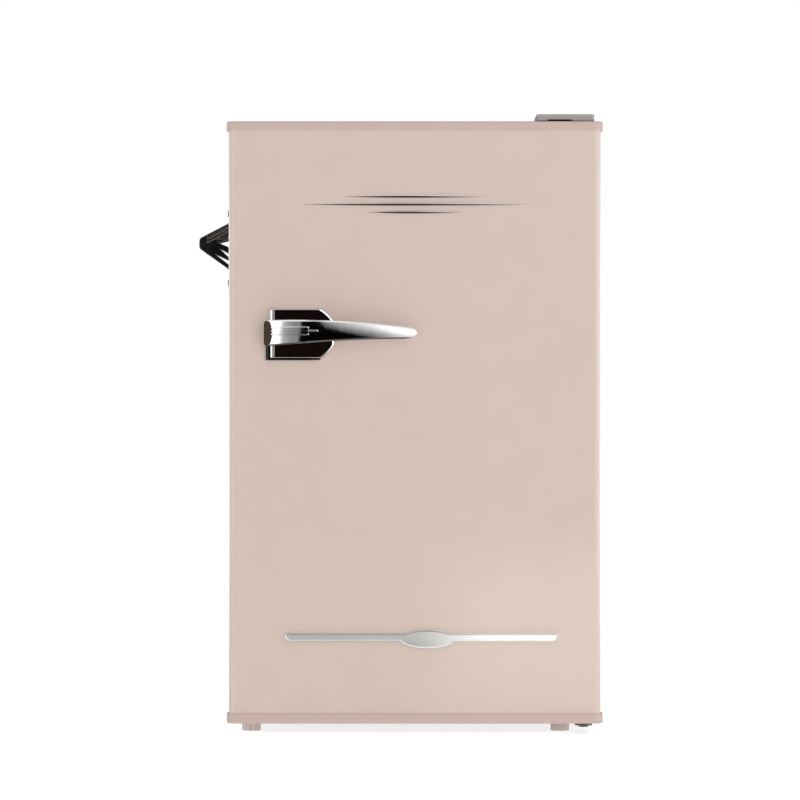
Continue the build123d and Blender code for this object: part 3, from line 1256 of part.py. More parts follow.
# Handle: sloped base plate, black inlay and a tapering crowned blade with three ribs
PLATE_DRAFT = PLATE_THICK * tan(radians(PLATE_SLOPE))
PLATE_INSET = PLATE_DRAFT + PLATE_RIM
STRIP_LEFT = HANDLE_X - PLATE_LEFT + PLATE_DRAFT
PLATE_HEIGHTS = (HANDLE_Z - PLATE_HALF_HEIGHT, HANDLE_Z + PLATE_HALF_HEIGHT)
BLOCK_SIDES = (HANDLE_X - BLOCK_LEFT, HANDLE_X + BLOCK_RIGHT)
BLOCK_STATIONS = (BLOCK_SIDES[0], BLADE_APEX, BLOCK_SIDES[1])
BLOCK_HEIGHTS = (HANDLE_Z - BLOCK_HALF_HEIGHT, HANDLE_Z + BLOCK_HALF_HEIGHT)


def plate_outline(inset):
    """Outline of the handle's base plate with two cut corners on the right."""
    left, right = HANDLE_X - PLATE_LEFT, HANDLE_X + PLATE_RIGHT
    low, high = PLATE_HEIGHTS
    with BuildSketch(mode=Mode.PRIVATE) as outline:
        with BuildLine():
            Polyline((right - PLATE_CUT, high), (left, high), (left, low), (right - PLATE_CUT, low))
            SagittaArc((right - PLATE_CUT, low), (right, low + PLATE_CUT), -PLATE_CUT_BOW)
            Line((right, low + PLATE_CUT), (right, high - PLATE_CUT))
            SagittaArc((right, high - PLATE_CUT), (right - PLATE_CUT, high), -PLATE_CUT_BOW)
        make_face()
        if inset:
            offset(amount=-inset, kind=Kind.INTERSECTION, mode=Mode.REPLACE)
    return outline.sketch


with BuildPart() as handle_plate:
    with BuildSketch(front_plane(DOOR_FRONT)):
        add(plate_outline(0))
    extrude(amount=PLATE_THICK, taper=PLATE_SLOPE)
    front_edges = handle_plate.faces().sort_by(Axis.Y)[0].edges()
    chamfer(front_edges.filter_by(lambda edge: edge.center().X > HANDLE_X + PLATE_RIGHT / 2), PLATE_EDGE)
    with BuildSketch(front_plane(PLATE_FRONT)):
        add(plate_outline(PLATE_INSET))
    extrude(amount=-INLAY, mode=Mode.SUBTRACT)
    with BuildSketch(level(HANDLE_Z)):
        with BuildLine():
            Polyline(
                (STRIP_LEFT, PLATE_FRONT + INLAY),
                (STRIP_LEFT, PLATE_FRONT),
                (STRIP_LEFT + STRIP_EDGE, PLATE_FRONT - STRIP_EDGE / 2),
                (STRIP_LEFT + STRIP_WIDTH, PLATE_FRONT - STRIP_RISE),
                (STRIP_LEFT + STRIP_WIDTH, PLATE_FRONT + INLAY),
                close=True,
            )
        make_face()
    extrude(amount=PLATE_HALF_HEIGHT - PLATE_DRAFT, both=True)
    with BuildSketch(front_plane(DOOR_FRONT)):
        with Locations(*HANDLE_SCREWS):
            Circle(SCREW_RADIUS + SCREW_PLAY)
    extrude(amount=PLATE_THICK, mode=Mode.SUBTRACT)
save(handle_plate.part, "handle_plate")

with BuildPart() as handle_inlay:
    with BuildSketch(front_plane(PLATE_FRONT + INLAY)):
        add(plate_outline(PLATE_INSET + RUNNING))
        span(
            (BLOCK_SIDES[0] - RUNNING, BLOCK_SIDES[1] + RUNNING),
            (BLOCK_HEIGHTS[0] - RUNNING, BLOCK_HEIGHTS[1] + RUNNING),
            Mode.SUBTRACT,
        )
        span((STRIP_LEFT, STRIP_LEFT + STRIP_WIDTH + RUNNING), PLATE_HEIGHTS, Mode.SUBTRACT)
    extrude(amount=INLAY)
save(handle_inlay.part, "handle_inlay")


def blade_front(x):
    """How far the blade's middle stands out from the door at x."""
    end, fall = (BLADE_LEFT, BLADE_LEFT_FALL) if x < BLADE_APEX else (BLADE_TIP, BLADE_TIP_FALL)
    return HANDLE_REACH - RIB_HEIGHT - fall * ((x - BLADE_APEX) / (end - BLADE_APEX)) ** 2


def blade_half_height(along):
    """Half of the blade's height at a share of its length."""
    return BLADE_HALF_HEIGHT - (BLADE_HALF_HEIGHT - BLADE_TIP_HALF_HEIGHT) * along**BLADE_TAPER


def blade_middle(along):
    """Height of the blade's middle line, which bows upwards, at a share of its length."""
    return HANDLE_Z + BLADE_RISE * sin(pi * along)


def handle_blade(raised):
    """Blade lofted through crowned sections and rounded at both ends, its front raised outwards."""
    round_x = BLADE_TIP - BLADE_TIP_ROUND
    round_along = (round_x - BLADE_LEFT) / (BLADE_TIP - BLADE_LEFT)
    with BuildPart() as blade:
        for section in range(BLADE_SECTIONS):
            along = section / (BLADE_SECTIONS - 1)
            x = BLADE_LEFT + along * (BLADE_TIP - BLADE_LEFT)
            half = blade_half_height(along)
            middle = blade_middle(along)
            front = DOOR_FRONT - blade_front(x) - raised
            back = DOOR_FRONT - blade_front(x) + BLADE_THICK + (BLADE_TIP_THICK - BLADE_THICK) * along
            face = half - BLADE_BEVEL
            brow = front + BLADE_CROWN * half
            edge = brow + BLADE_BEVEL
            with BuildSketch(side_plane(x)):
                with BuildLine():
                    Polyline(
                        (brow, middle + face),
                        (edge, middle + half),
                        (back, middle + BLADE_BACK_SHARE * half),
                        (back, middle - BLADE_BACK_SHARE * half),
                        (edge, middle - half),
                        (brow, middle - face),
                    )
                    ThreePointArc((brow, middle - face), (front, middle), (brow, middle + face))
                make_face()
        loft()
        with BuildSketch(front_plane(DOOR_FRONT)) as outline:
            with BuildLine():
                Polyline(
                    (BLADE_LEFT, HANDLE_Z - BLADE_HALF_HEIGHT),
                    (BLADE_LEFT, HANDLE_Z + BLADE_HALF_HEIGHT),
                    (BLADE_APEX, HANDLE_Z + BLADE_HALF_HEIGHT + BLADE_RISE),
                    (round_x, HANDLE_Z + BLADE_HALF_HEIGHT + BLADE_RISE),
                    (round_x, HANDLE_Z - BLADE_HALF_HEIGHT),
                    close=True,
                )
            make_face()
            fillet(outline.vertices().group_by(Axis.X)[0], BLADE_END_ROUND)
            with Locations((round_x, blade_middle(round_along))):
                Ellipse(BLADE_TIP_ROUND, blade_half_height(round_along))
        extrude(amount=2 * HANDLE_REACH, mode=Mode.INTERSECT)
    return blade.part


END_FRONT = DOOR_FRONT - blade_front(BLADE_LEFT + BLADE_END_SLOPE)
END_BACK = DOOR_FRONT - blade_front(BLADE_LEFT) + BLADE_THICK - BLADE_END_EDGE
with BuildPart() as handle_lever:
    add(handle_blade(0))
    with BuildSketch(level(HANDLE_Z)):
        with BuildLine():
            Polyline(
                (BLADE_LEFT, END_BACK),
                (BLADE_LEFT + 2 * BLADE_END_SLOPE, 2 * END_FRONT - END_BACK),
                (BLADE_LEFT, 2 * END_FRONT - END_BACK),
                close=True,
            )
        make_face()
    extrude(amount=PLATE_HALF_HEIGHT, both=True, mode=Mode.SUBTRACT)
    with BuildSketch(level(HANDLE_Z)):
        with BuildLine():
            Polyline(
                (BLOCK_SIDES[0], PLATE_FRONT + INLAY),
                *[(x, DOOR_FRONT - blade_front(x) + BLADE_THICK / 2) for x in BLOCK_STATIONS],
                (BLOCK_SIDES[1], PLATE_FRONT + INLAY),
                close=True,
            )
        make_face()
    extrude(amount=BLOCK_HALF_HEIGHT, both=True)
    with BuildSketch(front_plane(PLATE_FRONT + INLAY)):
        with Locations(*HANDLE_SCREWS):
            Circle(SCREW_RADIUS + SCREW_PLAY)
    extrude(amount=HANDLE_SCREW_DEPTH + FIT, mode=Mode.SUBTRACT)

with BuildPart() as handle_ribs:
    with BuildSketch(front_plane(PLATE_FRONT - BLADE_THICK)):
        for row, length in ((-1, RIB_LENGTH), (0, MIDDLE_RIB_LENGTH), (1, RIB_LENGTH)):
            with Locations((RIB_LEFT + length / 2, HANDLE_Z + BLADE_RISE + row * RIB_PITCH)):
                SlotOverall(length, RIB_WIDTH)
    extrude(amount=HANDLE_REACH)
    add(handle_blade(RIB_HEIGHT), mode=Mode.INTERSECT)
    rib_tops = handle_ribs.faces().filter_by(lambda face: face.normal_at().Y < -0.9)
    chamfer(rib_tops.edges(), RIB_BEVEL)
save(handle_lever.part + handle_ribs.part, "handle_lever")

with BuildPart() as handle_screws:
    with BuildSketch(front_plane(DOOR_FRONT + SHEET)):
        with Locations(*HANDLE_SCREWS):
            Circle(SCREW_HEAD_RADIUS)
    extrude(amount=-SCREW_HEAD)
    with BuildSketch(front_plane(DOOR_FRONT + SHEET)):
        with Locations(*HANDLE_SCREWS):
            Circle(SCREW_RADIUS)
    extrude(amount=SHEET + PLATE_THICK - INLAY + HANDLE_SCREW_DEPTH)
save(handle_screws.part, "handle_screws")

# Lower trim: a dished bar with rounded lower corners and an oval in it
def trim_outline(inset):
    """Outline of the lower trim, drawn in from its edge by the inset."""
    low, high = TRIM_Z - TRIM_HEIGHT / 2 + inset, TRIM_Z + TRIM_HEIGHT / 2 - inset
    left, right = TRIM_LEFT + inset, TRIM_RIGHT - inset
    with BuildSketch(mode=Mode.PRIVATE) as outline:
        with BuildLine():
            Polyline(
                (left, high),
                (right, high),
                (right - TRIM_END_SLANT, low),
                (left + TRIM_END_SLANT, low),
                close=True,
            )
        make_face()
        fillet(outline.vertices().group_by(Axis.Y)[0], TRIM_END_ROUND - inset)
        with Locations((OVAL_X, TRIM_Z - OVAL_DROP)):
            Ellipse(OVAL_WIDTH / 2 - inset, OVAL_HEIGHT / 2 - inset)
    return outline.sketch


with BuildPart() as lower_trim:
    with BuildSketch(front_plane(DOOR_FRONT)):
        add(trim_outline(0))
    extrude(amount=TRIM_THICK)
    for depth, inset in ((0, TRIM_RIM), (TRIM_DISH, TRIM_RIM + TRIM_BEVEL)):
        with BuildSketch(front_plane(DOOR_FRONT - TRIM_THICK + depth)):
            add(trim_outline(inset))
    loft(ruled=True, mode=Mode.SUBTRACT)
save(lower_trim.part, "lower_trim")

# Bottle opener: back plate and a slotted hood with a nose, open from below
WALL_X = -HALF
ROOF_SLOPE = (HOOD_TOP - NOSE_TOP) / (OPENER_REACH - OPENER_PLATE / 2)


def roof_height(out):
    """Height of the opener's sloping roof at a distance out from the wall."""
    return OPENER_Z + HOOD_TOP - ROOF_SLOPE * (out - OPENER_PLATE / 2)


with BuildPart() as opener_body:
    with BuildSketch(side_plane(WALL_X)):
        with Locations((OPENER_Y, OPENER_Z)):
            RectangleRounded(OPENER_WIDTH, OPENER_LENGTH, OPENER_ROUND)
    extrude(amount=-OPENER_PLATE)
    fillet(opener_body.faces().sort_by(Axis.X)[0].edges(), OPENER_PLATE / 3)
    with BuildSketch(front_plane(OPENER_Y)) as hood:
        with BuildLine():
            Polyline(
                (WALL_X - OPENER_PLATE / 2, OPENER_Z + HOOD_BOTTOM),
                (WALL_X - OPENER_REACH, OPENER_Z + NOSE_BOTTOM),
                (WALL_X - OPENER_REACH, OPENER_Z + NOSE_TOP),
                (WALL_X - OPENER_PLATE / 2, OPENER_Z + HOOD_TOP),
                close=True,
            )
        make_face()
        fillet(hood.vertices().group_by(Axis.X)[0], NOSE_ROUND)
    extrude(amount=HOOD_WIDTH / 2, both=True)
    with BuildSketch(front_plane(OPENER_Y)):
        with BuildLine():
            Polyline(
                (WALL_X - OPENER_PLATE, OPENER_Z - OPENER_LENGTH),
                (WALL_X - OPENER_REACH + NOSE_WALL, OPENER_Z - OPENER_LENGTH),
                (WALL_X - OPENER_REACH + NOSE_WALL, OPENER_Z + NOSE_TOP - ROOF_WALL / 2),
                (WALL_X - OPENER_PLATE, OPENER_Z + HOOD_TOP - ROOF_WALL * 1.5),
                close=True,
            )
        make_face()
    extrude(amount=HOOD_WIDTH / 2 - HOOD_WALL, both=True, mode=Mode.SUBTRACT)
    with BuildSketch(front_plane(OPENER_Y)):
        for length, tip, upper, lower in WINDOWS:
            with BuildLine():
                Polyline(
                    (WALL_X - length, OPENER_Z + tip),
                    (WALL_X - OPENER_PLATE, OPENER_Z + upper),
                    (WALL_X - OPENER_PLATE, OPENER_Z + lower),
                    close=True,
                )
            make_face()
    extrude(amount=HOOD_WIDTH, both=True, mode=Mode.SUBTRACT)
    for side in (-1, 1):
        with BuildSketch(front_plane(OPENER_Y - side * HOOD_WIDTH / 2)):
            for drop in FLUTE_DROPS:
                with BuildLine():
                    Polyline(
                        (WALL_X - FLUTE_NEAR, roof_height(FLUTE_NEAR) - drop),
                        (WALL_X - FLUTE_FAR, roof_height(FLUTE_FAR) - drop),
                        (WALL_X - FLUTE_FAR, roof_height(FLUTE_FAR) - drop - FLUTE_WIDTH),
                        (WALL_X - FLUTE_NEAR, roof_height(FLUTE_NEAR) - drop - FLUTE_WIDTH),
                        close=True,
                    )
                make_face()
        extrude(amount=-side * FLUTE_DEPTH, mode=Mode.SUBTRACT)
    with BuildSketch(front_plane(OPENER_Y)):
        with BuildLine():
            Polyline(
                (WALL_X - OPENER_REACH + NOSE_WALL / 2, OPENER_Z + NOSE_BOTTOM + TOOTH),
                (WALL_X - OPENER_REACH + NOSE_WALL / 2, OPENER_Z + NOSE_BOTTOM + 2 * TOOTH),
                (WALL_X - OPENER_REACH + NOSE_WALL + TOOTH, OPENER_Z + NOSE_BOTTOM + 1.5 * TOOTH),
                close=True,
            )
        make_face()
    extrude(amount=2 * TOOTH, both=True)
    with BuildSketch(side_plane(WALL_X)):
        with Locations((OPENER_Y, OPENER_Z)):
            with GridLocations(0, OPENER_SCREW_PITCH, 1, 2):
                Circle(OPENER_SCREW + SCREW_PLAY)
    extrude(amount=-OPENER_PLATE, mode=Mode.SUBTRACT)
save(opener_body.part, "opener_body")

with BuildPart() as opener_screws:
    with BuildSketch(side_plane(WALL_X + SHEET)):
        with Locations((OPENER_Y, OPENER_Z)):
            with GridLocations(0, OPENER_SCREW_PITCH, 1, 2):
                Circle(OPENER_SCREW)
    extrude(amount=-(SHEET + OPENER_PLATE))
    with BuildSketch(side_plane(WALL_X - OPENER_PLATE)):
        with Locations((OPENER_Y, OPENER_Z)):
            with GridLocations(0, OPENER_SCREW_PITCH, 1, 2):
                Circle(SCREW_HEAD_RADIUS)
    extrude(amount=-SCREW_HEAD)
save(opener_screws.part, "opener_screws")
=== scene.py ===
# %% [markdown]
# # A retro compact refrigerator
# The CAD model comes in as a fixed frame: every sheet, cap, hinge and bin is already in place, in metres.
# This lesson gives those pieces their finishes, adds the fine trim that CAD leaves out, and lights them.

# %% Load the frame
import math

import bmesh
import bpy
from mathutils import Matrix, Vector


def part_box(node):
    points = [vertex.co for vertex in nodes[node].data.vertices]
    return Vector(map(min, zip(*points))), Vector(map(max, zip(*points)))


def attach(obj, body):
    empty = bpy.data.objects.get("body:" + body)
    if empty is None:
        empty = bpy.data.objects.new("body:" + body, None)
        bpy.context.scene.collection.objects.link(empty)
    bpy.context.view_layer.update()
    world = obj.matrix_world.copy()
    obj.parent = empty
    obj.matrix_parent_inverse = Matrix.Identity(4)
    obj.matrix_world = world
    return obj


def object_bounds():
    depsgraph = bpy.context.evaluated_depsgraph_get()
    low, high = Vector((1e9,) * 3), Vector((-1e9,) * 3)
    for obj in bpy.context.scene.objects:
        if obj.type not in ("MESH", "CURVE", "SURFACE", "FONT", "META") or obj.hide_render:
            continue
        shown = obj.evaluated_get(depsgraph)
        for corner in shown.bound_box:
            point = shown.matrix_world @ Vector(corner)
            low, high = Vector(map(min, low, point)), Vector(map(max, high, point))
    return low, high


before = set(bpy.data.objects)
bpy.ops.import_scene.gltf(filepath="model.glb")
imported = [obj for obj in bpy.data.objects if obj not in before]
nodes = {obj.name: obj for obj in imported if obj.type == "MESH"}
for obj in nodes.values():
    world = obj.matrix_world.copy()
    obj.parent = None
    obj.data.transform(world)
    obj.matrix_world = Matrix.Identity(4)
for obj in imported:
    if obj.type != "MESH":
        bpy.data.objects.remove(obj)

cad_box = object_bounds()
MM = 0.001
print("pieces:", len(nodes), "box:", [[round(c, 4) for c in corner] for corner in cad_box])

# %% [markdown]
# ## Helpers for finishes
# Colours are written as sRGB hex codes, the way a paint chart or a colour picker gives them.
# Shader sockets take linear values, so one function converts them.
# Another adds a node, sets it and links it in one line, which keeps each finish short enough to read.

# %% Colours and nodes
def colour(code):
    """An sRGB hex code as the linear RGBA that shader sockets take."""
    channels = [int(code[i:i + 2], 16) / 255 for i in (1, 3, 5)]
    return [c / 12.92 if c <= 0.04045 else ((c + 0.055) / 1.055) ** 2.4 for c in channels] + [1.0]


def add_node(tree, kind, inputs=None, **settings):
    """Add a shader node with its settings; each input is a value or a socket to link from."""
    node = tree.nodes.new("ShaderNode" + kind)
    for name, value in settings.items():
        setattr(node, name, value)
    for name, value in (inputs or {}).items():
        if isinstance(value, bpy.types.NodeSocket):
            tree.links.new(value, node.inputs[name])
        else:
            node.inputs[name].default_value = value
    return node


def new_finish(name, **sockets):
    """A material with one Principled shader; sockets are given as words joined by underscores."""
    finish = bpy.data.materials.new(name)
    finish.use_nodes = True
    shader = finish.node_tree.nodes["Principled BSDF"]
    for words, value in sockets.items():
        shader.inputs[words.replace("_", " ")].default_value = value
    return finish, finish.node_tree, shader


def dress(finish, *names):
    """Give CAD pieces a finish."""
    for name in names:
        for slot in nodes[name].material_slots:
            slot.material = finish


print("white is", [round(c, 3) for c in colour("#FFFFFF")])

# %% [markdown]
# ## Grain and variation
# No real surface is one flat value. Sprayed enamel has orange peel, moulded plastic a fine spark-eroded
# grain, rolled metal a direction. All of these are noise at a known size, so one function adds them:
# it lays a noise over the object's own coordinates, uses it as bump and lets roughness wander a little.
# The wandering is a second noise, twelve times as coarse, and it can also shift the colour.

# %% Grain
CLOUD_RATIO = 12
NOISE_LOW, NOISE_HIGH = 0.3, 0.7


def add_grain(tree, shader, size_mm, depth_mm, roughness, stretch=(1, 1, 1)):
    """Noise bump with grains of size_mm, and roughness that varies between two values."""
    place = add_node(tree, "TexCoord")
    scaled = add_node(tree, "Mapping", {"Vector": place.outputs["Object"], "Scale": stretch})
    grain = add_node(tree, "TexNoise", {"Vector": scaled.outputs[0], "Scale": 1 / (size_mm * MM),
                                        "Detail": 2.0})
    bump = add_node(tree, "Bump", {"Height": grain.outputs[0], "Strength": 1.0, "Distance": depth_mm * MM})
    tree.links.new(bump.outputs[0], shader.inputs["Normal"])
    cloud = add_node(tree, "TexNoise", {"Vector": scaled.outputs[0], "Detail": 3.0,
                                        "Scale": 1 / (size_mm * CLOUD_RATIO * MM)})
    spread = add_node(tree, "MapRange", {"Value": cloud.outputs[0], "From Min": NOISE_LOW,
                                         "From Max": NOISE_HIGH, "To Min": roughness[0],
                                         "To Max": roughness[1]})
    tree.links.new(spread.outputs[0], shader.inputs["Roughness"])
    return cloud


def add_tint(tree, shader, cloud, low, high):
    """Base colour that drifts between two shades with a noise."""
    mix = add_node(tree, "Mix", {0: cloud.outputs[0], 6: colour(low), 7: colour(high)}, data_type="RGBA")
    tree.links.new(mix.outputs[2], shader.inputs["Base Color"])


print("grain and tint helpers ready, clouds", CLOUD_RATIO, "times the grain")

# %% [markdown]
# ## Enamelled sheet steel
# The door and the cabinet are steel sheet, sprayed and stoved in a pale rose beige. A plain colour would
# look like paper, and a clear mirror on top like a car. A thin, slightly rough coat over a rougher base
# lies between the two, and a bump about 3 mm across is the orange peel that spraying leaves.

# %% Stoved enamel
# Stoved enamel: an even colour with a soft sheen that ripples faintly.
enamel, tree, shader = new_finish("stoved_enamel_on_steel", Coat_Weight=0.5, Coat_Roughness=0.16, IOR=1.5)
cloud = add_grain(tree, shader, size_mm=3.0, depth_mm=0.008, roughness=(0.38, 0.46))
add_tint(tree, shader, cloud, "#D5C1B7", "#D9C5BB")
dress(enamel, "door_panel", "cabinet_shell")
print("enamel:", enamel.name)

# %% [markdown]
# ## Moulded plastics outside
# The end caps are ABS moulded in a rosier shade of the enamel, with a fine spark-eroded grain of about
# half a millimetre. It is drawn a little coarser here, because it would vanish at this distance.
# The hinge cover is the same plastic in grey, and the feet are polypropylene painted paler, as painted
# light.

# %% Outer plastics
# ABS with a fine grain: matt beside the enamel, with a broad, weak highlight.
cap_abs, tree, shader = new_finish("moulded_abs_rose", IOR=1.53)
cloud = add_grain(tree, shader, size_mm=1.2, depth_mm=0.02, roughness=(0.42, 0.5))
add_tint(tree, shader, cloud, "#C8B0A8", "#CCB5AD")
dress(cap_abs, "door_top_cap", "door_bottom_cap")

# The same plastic, drawn greyer and darker than the caps.
cover_abs, tree, shader = new_finish("moulded_abs_grey", IOR=1.53)
cloud = add_grain(tree, shader, size_mm=1.2, depth_mm=0.02, roughness=(0.4, 0.48))
add_tint(tree, shader, cloud, "#A49D9B", "#A9A2A0")
dress(cover_abs, "top_hinge_cover")

# Polypropylene: waxy, painted paler than it is: painted light in the shade under the door.
foot_pp, tree, shader = new_finish("moulded_polypropylene_beige", IOR=1.49)
cloud = add_grain(tree, shader, size_mm=1.0, depth_mm=0.02, roughness=(0.45, 0.55))
add_tint(tree, shader, cloud, "#E2D5CD", "#EADDD6")
dress(foot_pp, "front_left_foot", "front_right_foot", "rear_feet")
print("outer plastics:", cap_abs.name, cover_abs.name, foot_pp.name)

# %% [markdown]
# ## Chrome
# The handle is die-cast zinc with a bright chrome plate: nearly a mirror, slightly cool. Its look is all
# reflection, so it needs dark and light around it more than it needs texture. Only a trace of polishing
# haze is added. The trim bar is satin chrome, which spreads what it reflects.
# The opener is black chrome on a rough casting. A casting's edges are soft, and a Bevel node rounds them in
# the shading alone, so the CAD mesh stays as it is.

# %% Chrome plate
# Bright chrome: a mirror with just enough haze to soften the edges of what it shows.
chrome, tree, shader = new_finish("chrome_plate_on_zinc", Metallic=1.0, Base_Color=colour("#E9E8E8"))
add_grain(tree, shader, size_mm=4.0, depth_mm=0.001, roughness=(0.04, 0.08))
dress(chrome, "handle_plate", "handle_lever")

# Satin chrome: fine lines along the bar blur reflections into soft bands of light and shade.
satin_chrome, tree, shader = new_finish("satin_chrome_plate", Metallic=1.0, Base_Color=colour("#EDECEA"))
add_grain(tree, shader, size_mm=1.5, depth_mm=0.004, roughness=(0.38, 0.46), stretch=(0.05, 1, 1))
dress(satin_chrome, "lower_trim")

# Gloss acrylic: nearly black with a warm tinge, and a sharp reflection on its surface.
black_gloss, tree, shader = new_finish("gloss_black_acrylic", IOR=1.49, Base_Color=colour("#180D0D"))
add_grain(tree, shader, size_mm=8.0, depth_mm=0.001, roughness=(0.04, 0.07))
dress(black_gloss, "handle_inlay")

# Black chrome: a dark, uneven mirror whose soft edges catch thin lines of light.
EDGE_RADIUS = 1.6 * MM
black_chrome, tree, shader = new_finish("black_chrome_plate_on_zinc", Metallic=1.0)
cloud = add_grain(tree, shader, size_mm=8.0, depth_mm=0.14, roughness=(0.14, 0.22))
add_tint(tree, shader, cloud, "#84827F", "#908E8B")
edges = add_node(tree, "Bevel", {"Radius": EDGE_RADIUS}, samples=6)
casting_bump = shader.inputs["Normal"].links[0].from_node
tree.links.new(edges.outputs[0], casting_bump.inputs["Normal"])
dress(black_chrome, "opener_body", "opener_screws")
print("bright finishes:", chrome.name, satin_chrome.name, black_gloss.name, black_chrome.name)

# %% [markdown]
# ## Sheet metal and hardware
# Hidden steel is hot-dip galvanised: zinc crystals, the spangle, about 8 mm across, each a slightly
# different grey. A Voronoi cell pattern is just that. Brackets and screws are zinc plated and even.
# The bottom hinge's plate is drawn a dark olive grey.

# %% Galvanised and zinc-plated steel
# Spangle: flat patches of slightly different grey, each with its own outline.
SPANGLE = 8 * MM
galvanised, tree, shader = new_finish("hot_dip_galvanised_steel", Metallic=1.0)
add_grain(tree, shader, size_mm=2.0, depth_mm=0.006, roughness=(0.38, 0.5))
place = add_node(tree, "TexCoord")
spangle = add_node(tree, "TexVoronoi", {"Vector": place.outputs["Object"], "Scale": 1 / SPANGLE})
grey = add_node(tree, "SeparateColor", {"Color": spangle.outputs["Color"]})
crystal = add_node(tree, "Mix", {0: grey.outputs[0], 6: colour("#B2B4B5"), 7: colour("#C3C5C6")},
                   data_type="RGBA")
tree.links.new(crystal.outputs[2], shader.inputs["Base Color"])
dress(galvanised, "back_panel", "machine_room_panel", "base_pan")

# Zinc plate: an even light grey with a blurred reflection.
zinc, tree, shader = new_finish("zinc_plated_steel", Metallic=1.0)
cloud = add_grain(tree, shader, size_mm=1.5, depth_mm=0.004, roughness=(0.24, 0.36))
add_tint(tree, shader, cloud, "#B9BABA", "#C6C7C9")
dress(zinc, "back_panel_screws", "compressor_bolts", "foot_nuts", "top_hinge_bracket", "top_hinge_pin",
      "top_hinge_screws", "handle_screws", "thermostat_spindle")

# Dark olive plate: a dull green grey that hardly mirrors anything.
olive_zinc, tree, shader = new_finish("dark_olive_zinc_plate", Metallic=1.0)
cloud = add_grain(tree, shader, size_mm=2.0, depth_mm=0.006, roughness=(0.4, 0.52))
add_tint(tree, shader, cloud, "#5E5F5A", "#6C6C64")
dress(olive_zinc, "bottom_hinge_bracket", "bottom_hinge_pin", "bottom_hinge_screws")
print("hardware:", galvanised.name, zinc.name, olive_zinc.name)

# %% [markdown]
# ## Inside the food space
# The liner is white polystyrene sheet, drawn by vacuum over a mould, so it is glossy with a very slight
# ripple. Trims, frame and tray are the same plastic, moulded. The chiller's flap is frosted, the door bins
# are clear, the shelves are float glass with a green tinge, and the gasket is soft light grey PVC.
# Transmission in the Principled shader makes the clear ones: they are solids, so light bends in them.

# %% White and clear plastics
# Vacuum-formed sheet: clean white with a broad, calm gloss.
liner_ps, tree, shader = new_finish("vacuum_formed_white_polystyrene", IOR=1.55)
cloud = add_grain(tree, shader, size_mm=18.0, depth_mm=0.015, roughness=(0.28, 0.33))
add_tint(tree, shader, cloud, "#EFEDE8", "#F1EFEB")
dress(liner_ps, "inner_liner", "door_liner", "chiller_frame", "drip_tray", "thermostat_housing",
      "lower_shelf_trim", "upper_shelf_trim")

# Frosted plastic: the grain scatters what comes through, so the eye sees a glow and no picture.
flap_ps, tree, shader = new_finish("moulded_frosted_polystyrene", IOR=1.55, Transmission_Weight=0.35)
cloud = add_grain(tree, shader, size_mm=2.0, depth_mm=0.03, roughness=(0.3, 0.4))
add_tint(tree, shader, cloud, "#D5E0E4", "#DEE8EB")
dress(flap_ps, "chiller_flap")

# Clear plastic: nearly colourless, with slow waves from the mould.
bin_ps, tree, shader = new_finish("clear_moulded_polystyrene", IOR=1.55, Transmission_Weight=0.9)
cloud = add_grain(tree, shader, size_mm=12.0, depth_mm=0.02, roughness=(0.06, 0.12))
add_tint(tree, shader, cloud, "#E6EEF0", "#EEF4F5")
dress(bin_ps, "lower_door_bin", "middle_door_bin", "upper_door_bin")
print("plastics inside:", liner_ps.name, flap_ps.name, bin_ps.name)

# %% [markdown]
# ## Glass, gasket and nylon
# Three more materials fit out the food space. The glass shelves are cut from float glass, flat to the eye.
# The gasket is extruded from PVC soft enough to fold, and hangers, bushes and the knob are nylon, which
# runs on metal without grease. Each again is one grain and one pair of shades.

# %% Shelves, gasket and small mouldings
# Float glass: flat, clear and faintly green.
shelf_glass, tree, shader = new_finish("float_glass", IOR=1.52, Transmission_Weight=1.0)
cloud = add_grain(tree, shader, size_mm=40.0, depth_mm=0.005, roughness=(0.01, 0.03))
add_tint(tree, shader, cloud, "#D2EBE1", "#DAF0E8")
dress(shelf_glass, "lower_shelf", "upper_shelf")

# Soft PVC: matt and slightly warm, with no highlight.
gasket_pvc, tree, shader = new_finish("extruded_soft_pvc", IOR=1.52)
cloud = add_grain(tree, shader, size_mm=2.0, depth_mm=0.03, roughness=(0.55, 0.68))
add_tint(tree, shader, cloud, "#CFC9C2", "#D7D1CA")
dress(gasket_pvc, "door_gasket")

# Nylon: cream, with a low satin sheen.
nylon, tree, shader = new_finish("moulded_nylon", IOR=1.53)
cloud = add_grain(tree, shader, size_mm=1.0, depth_mm=0.02, roughness=(0.4, 0.5))
add_tint(tree, shader, cloud, "#DDD8CB", "#E4DFD3")
dress(nylon, "evaporator_hangers", "hinge_washer", "hinge_bushes", "thermostat_knob")
print("fittings:", shelf_glass.name, gasket_pvc.name, nylon.name)

# %% [markdown]
# ## Cold and warm metal
# The evaporator is two aluminium sheets rolled together, dull and lined along the rolling direction.
# The lines are drawn copper that has browned a little. The compressor can is dipped in black enamel.
# A stretched noise gives the rolling lines, and a wide pair of shades the browning.

# %% Refrigerant circuit
# Rolled aluminium: dull, with fine lines that all run one way.
roll_bond, tree, shader = new_finish("roll_bonded_aluminium", Metallic=1.0)
cloud = add_grain(tree, shader, size_mm=1.2, depth_mm=0.01, roughness=(0.34, 0.46), stretch=(0.06, 1, 1))
add_tint(tree, shader, cloud, "#C6C9CC", "#D3D6D9")
dress(roll_bond, "evaporator")

# Drawn copper: bright in places and browned in others.
copper, tree, shader = new_finish("drawn_copper", Metallic=1.0)
cloud = add_grain(tree, shader, size_mm=2.5, depth_mm=0.008, roughness=(0.28, 0.45))
add_tint(tree, shader, cloud, "#A4623F", "#C58560")
dress(copper, "condenser_tubes", "refrigerant_lines", "filter_drier")

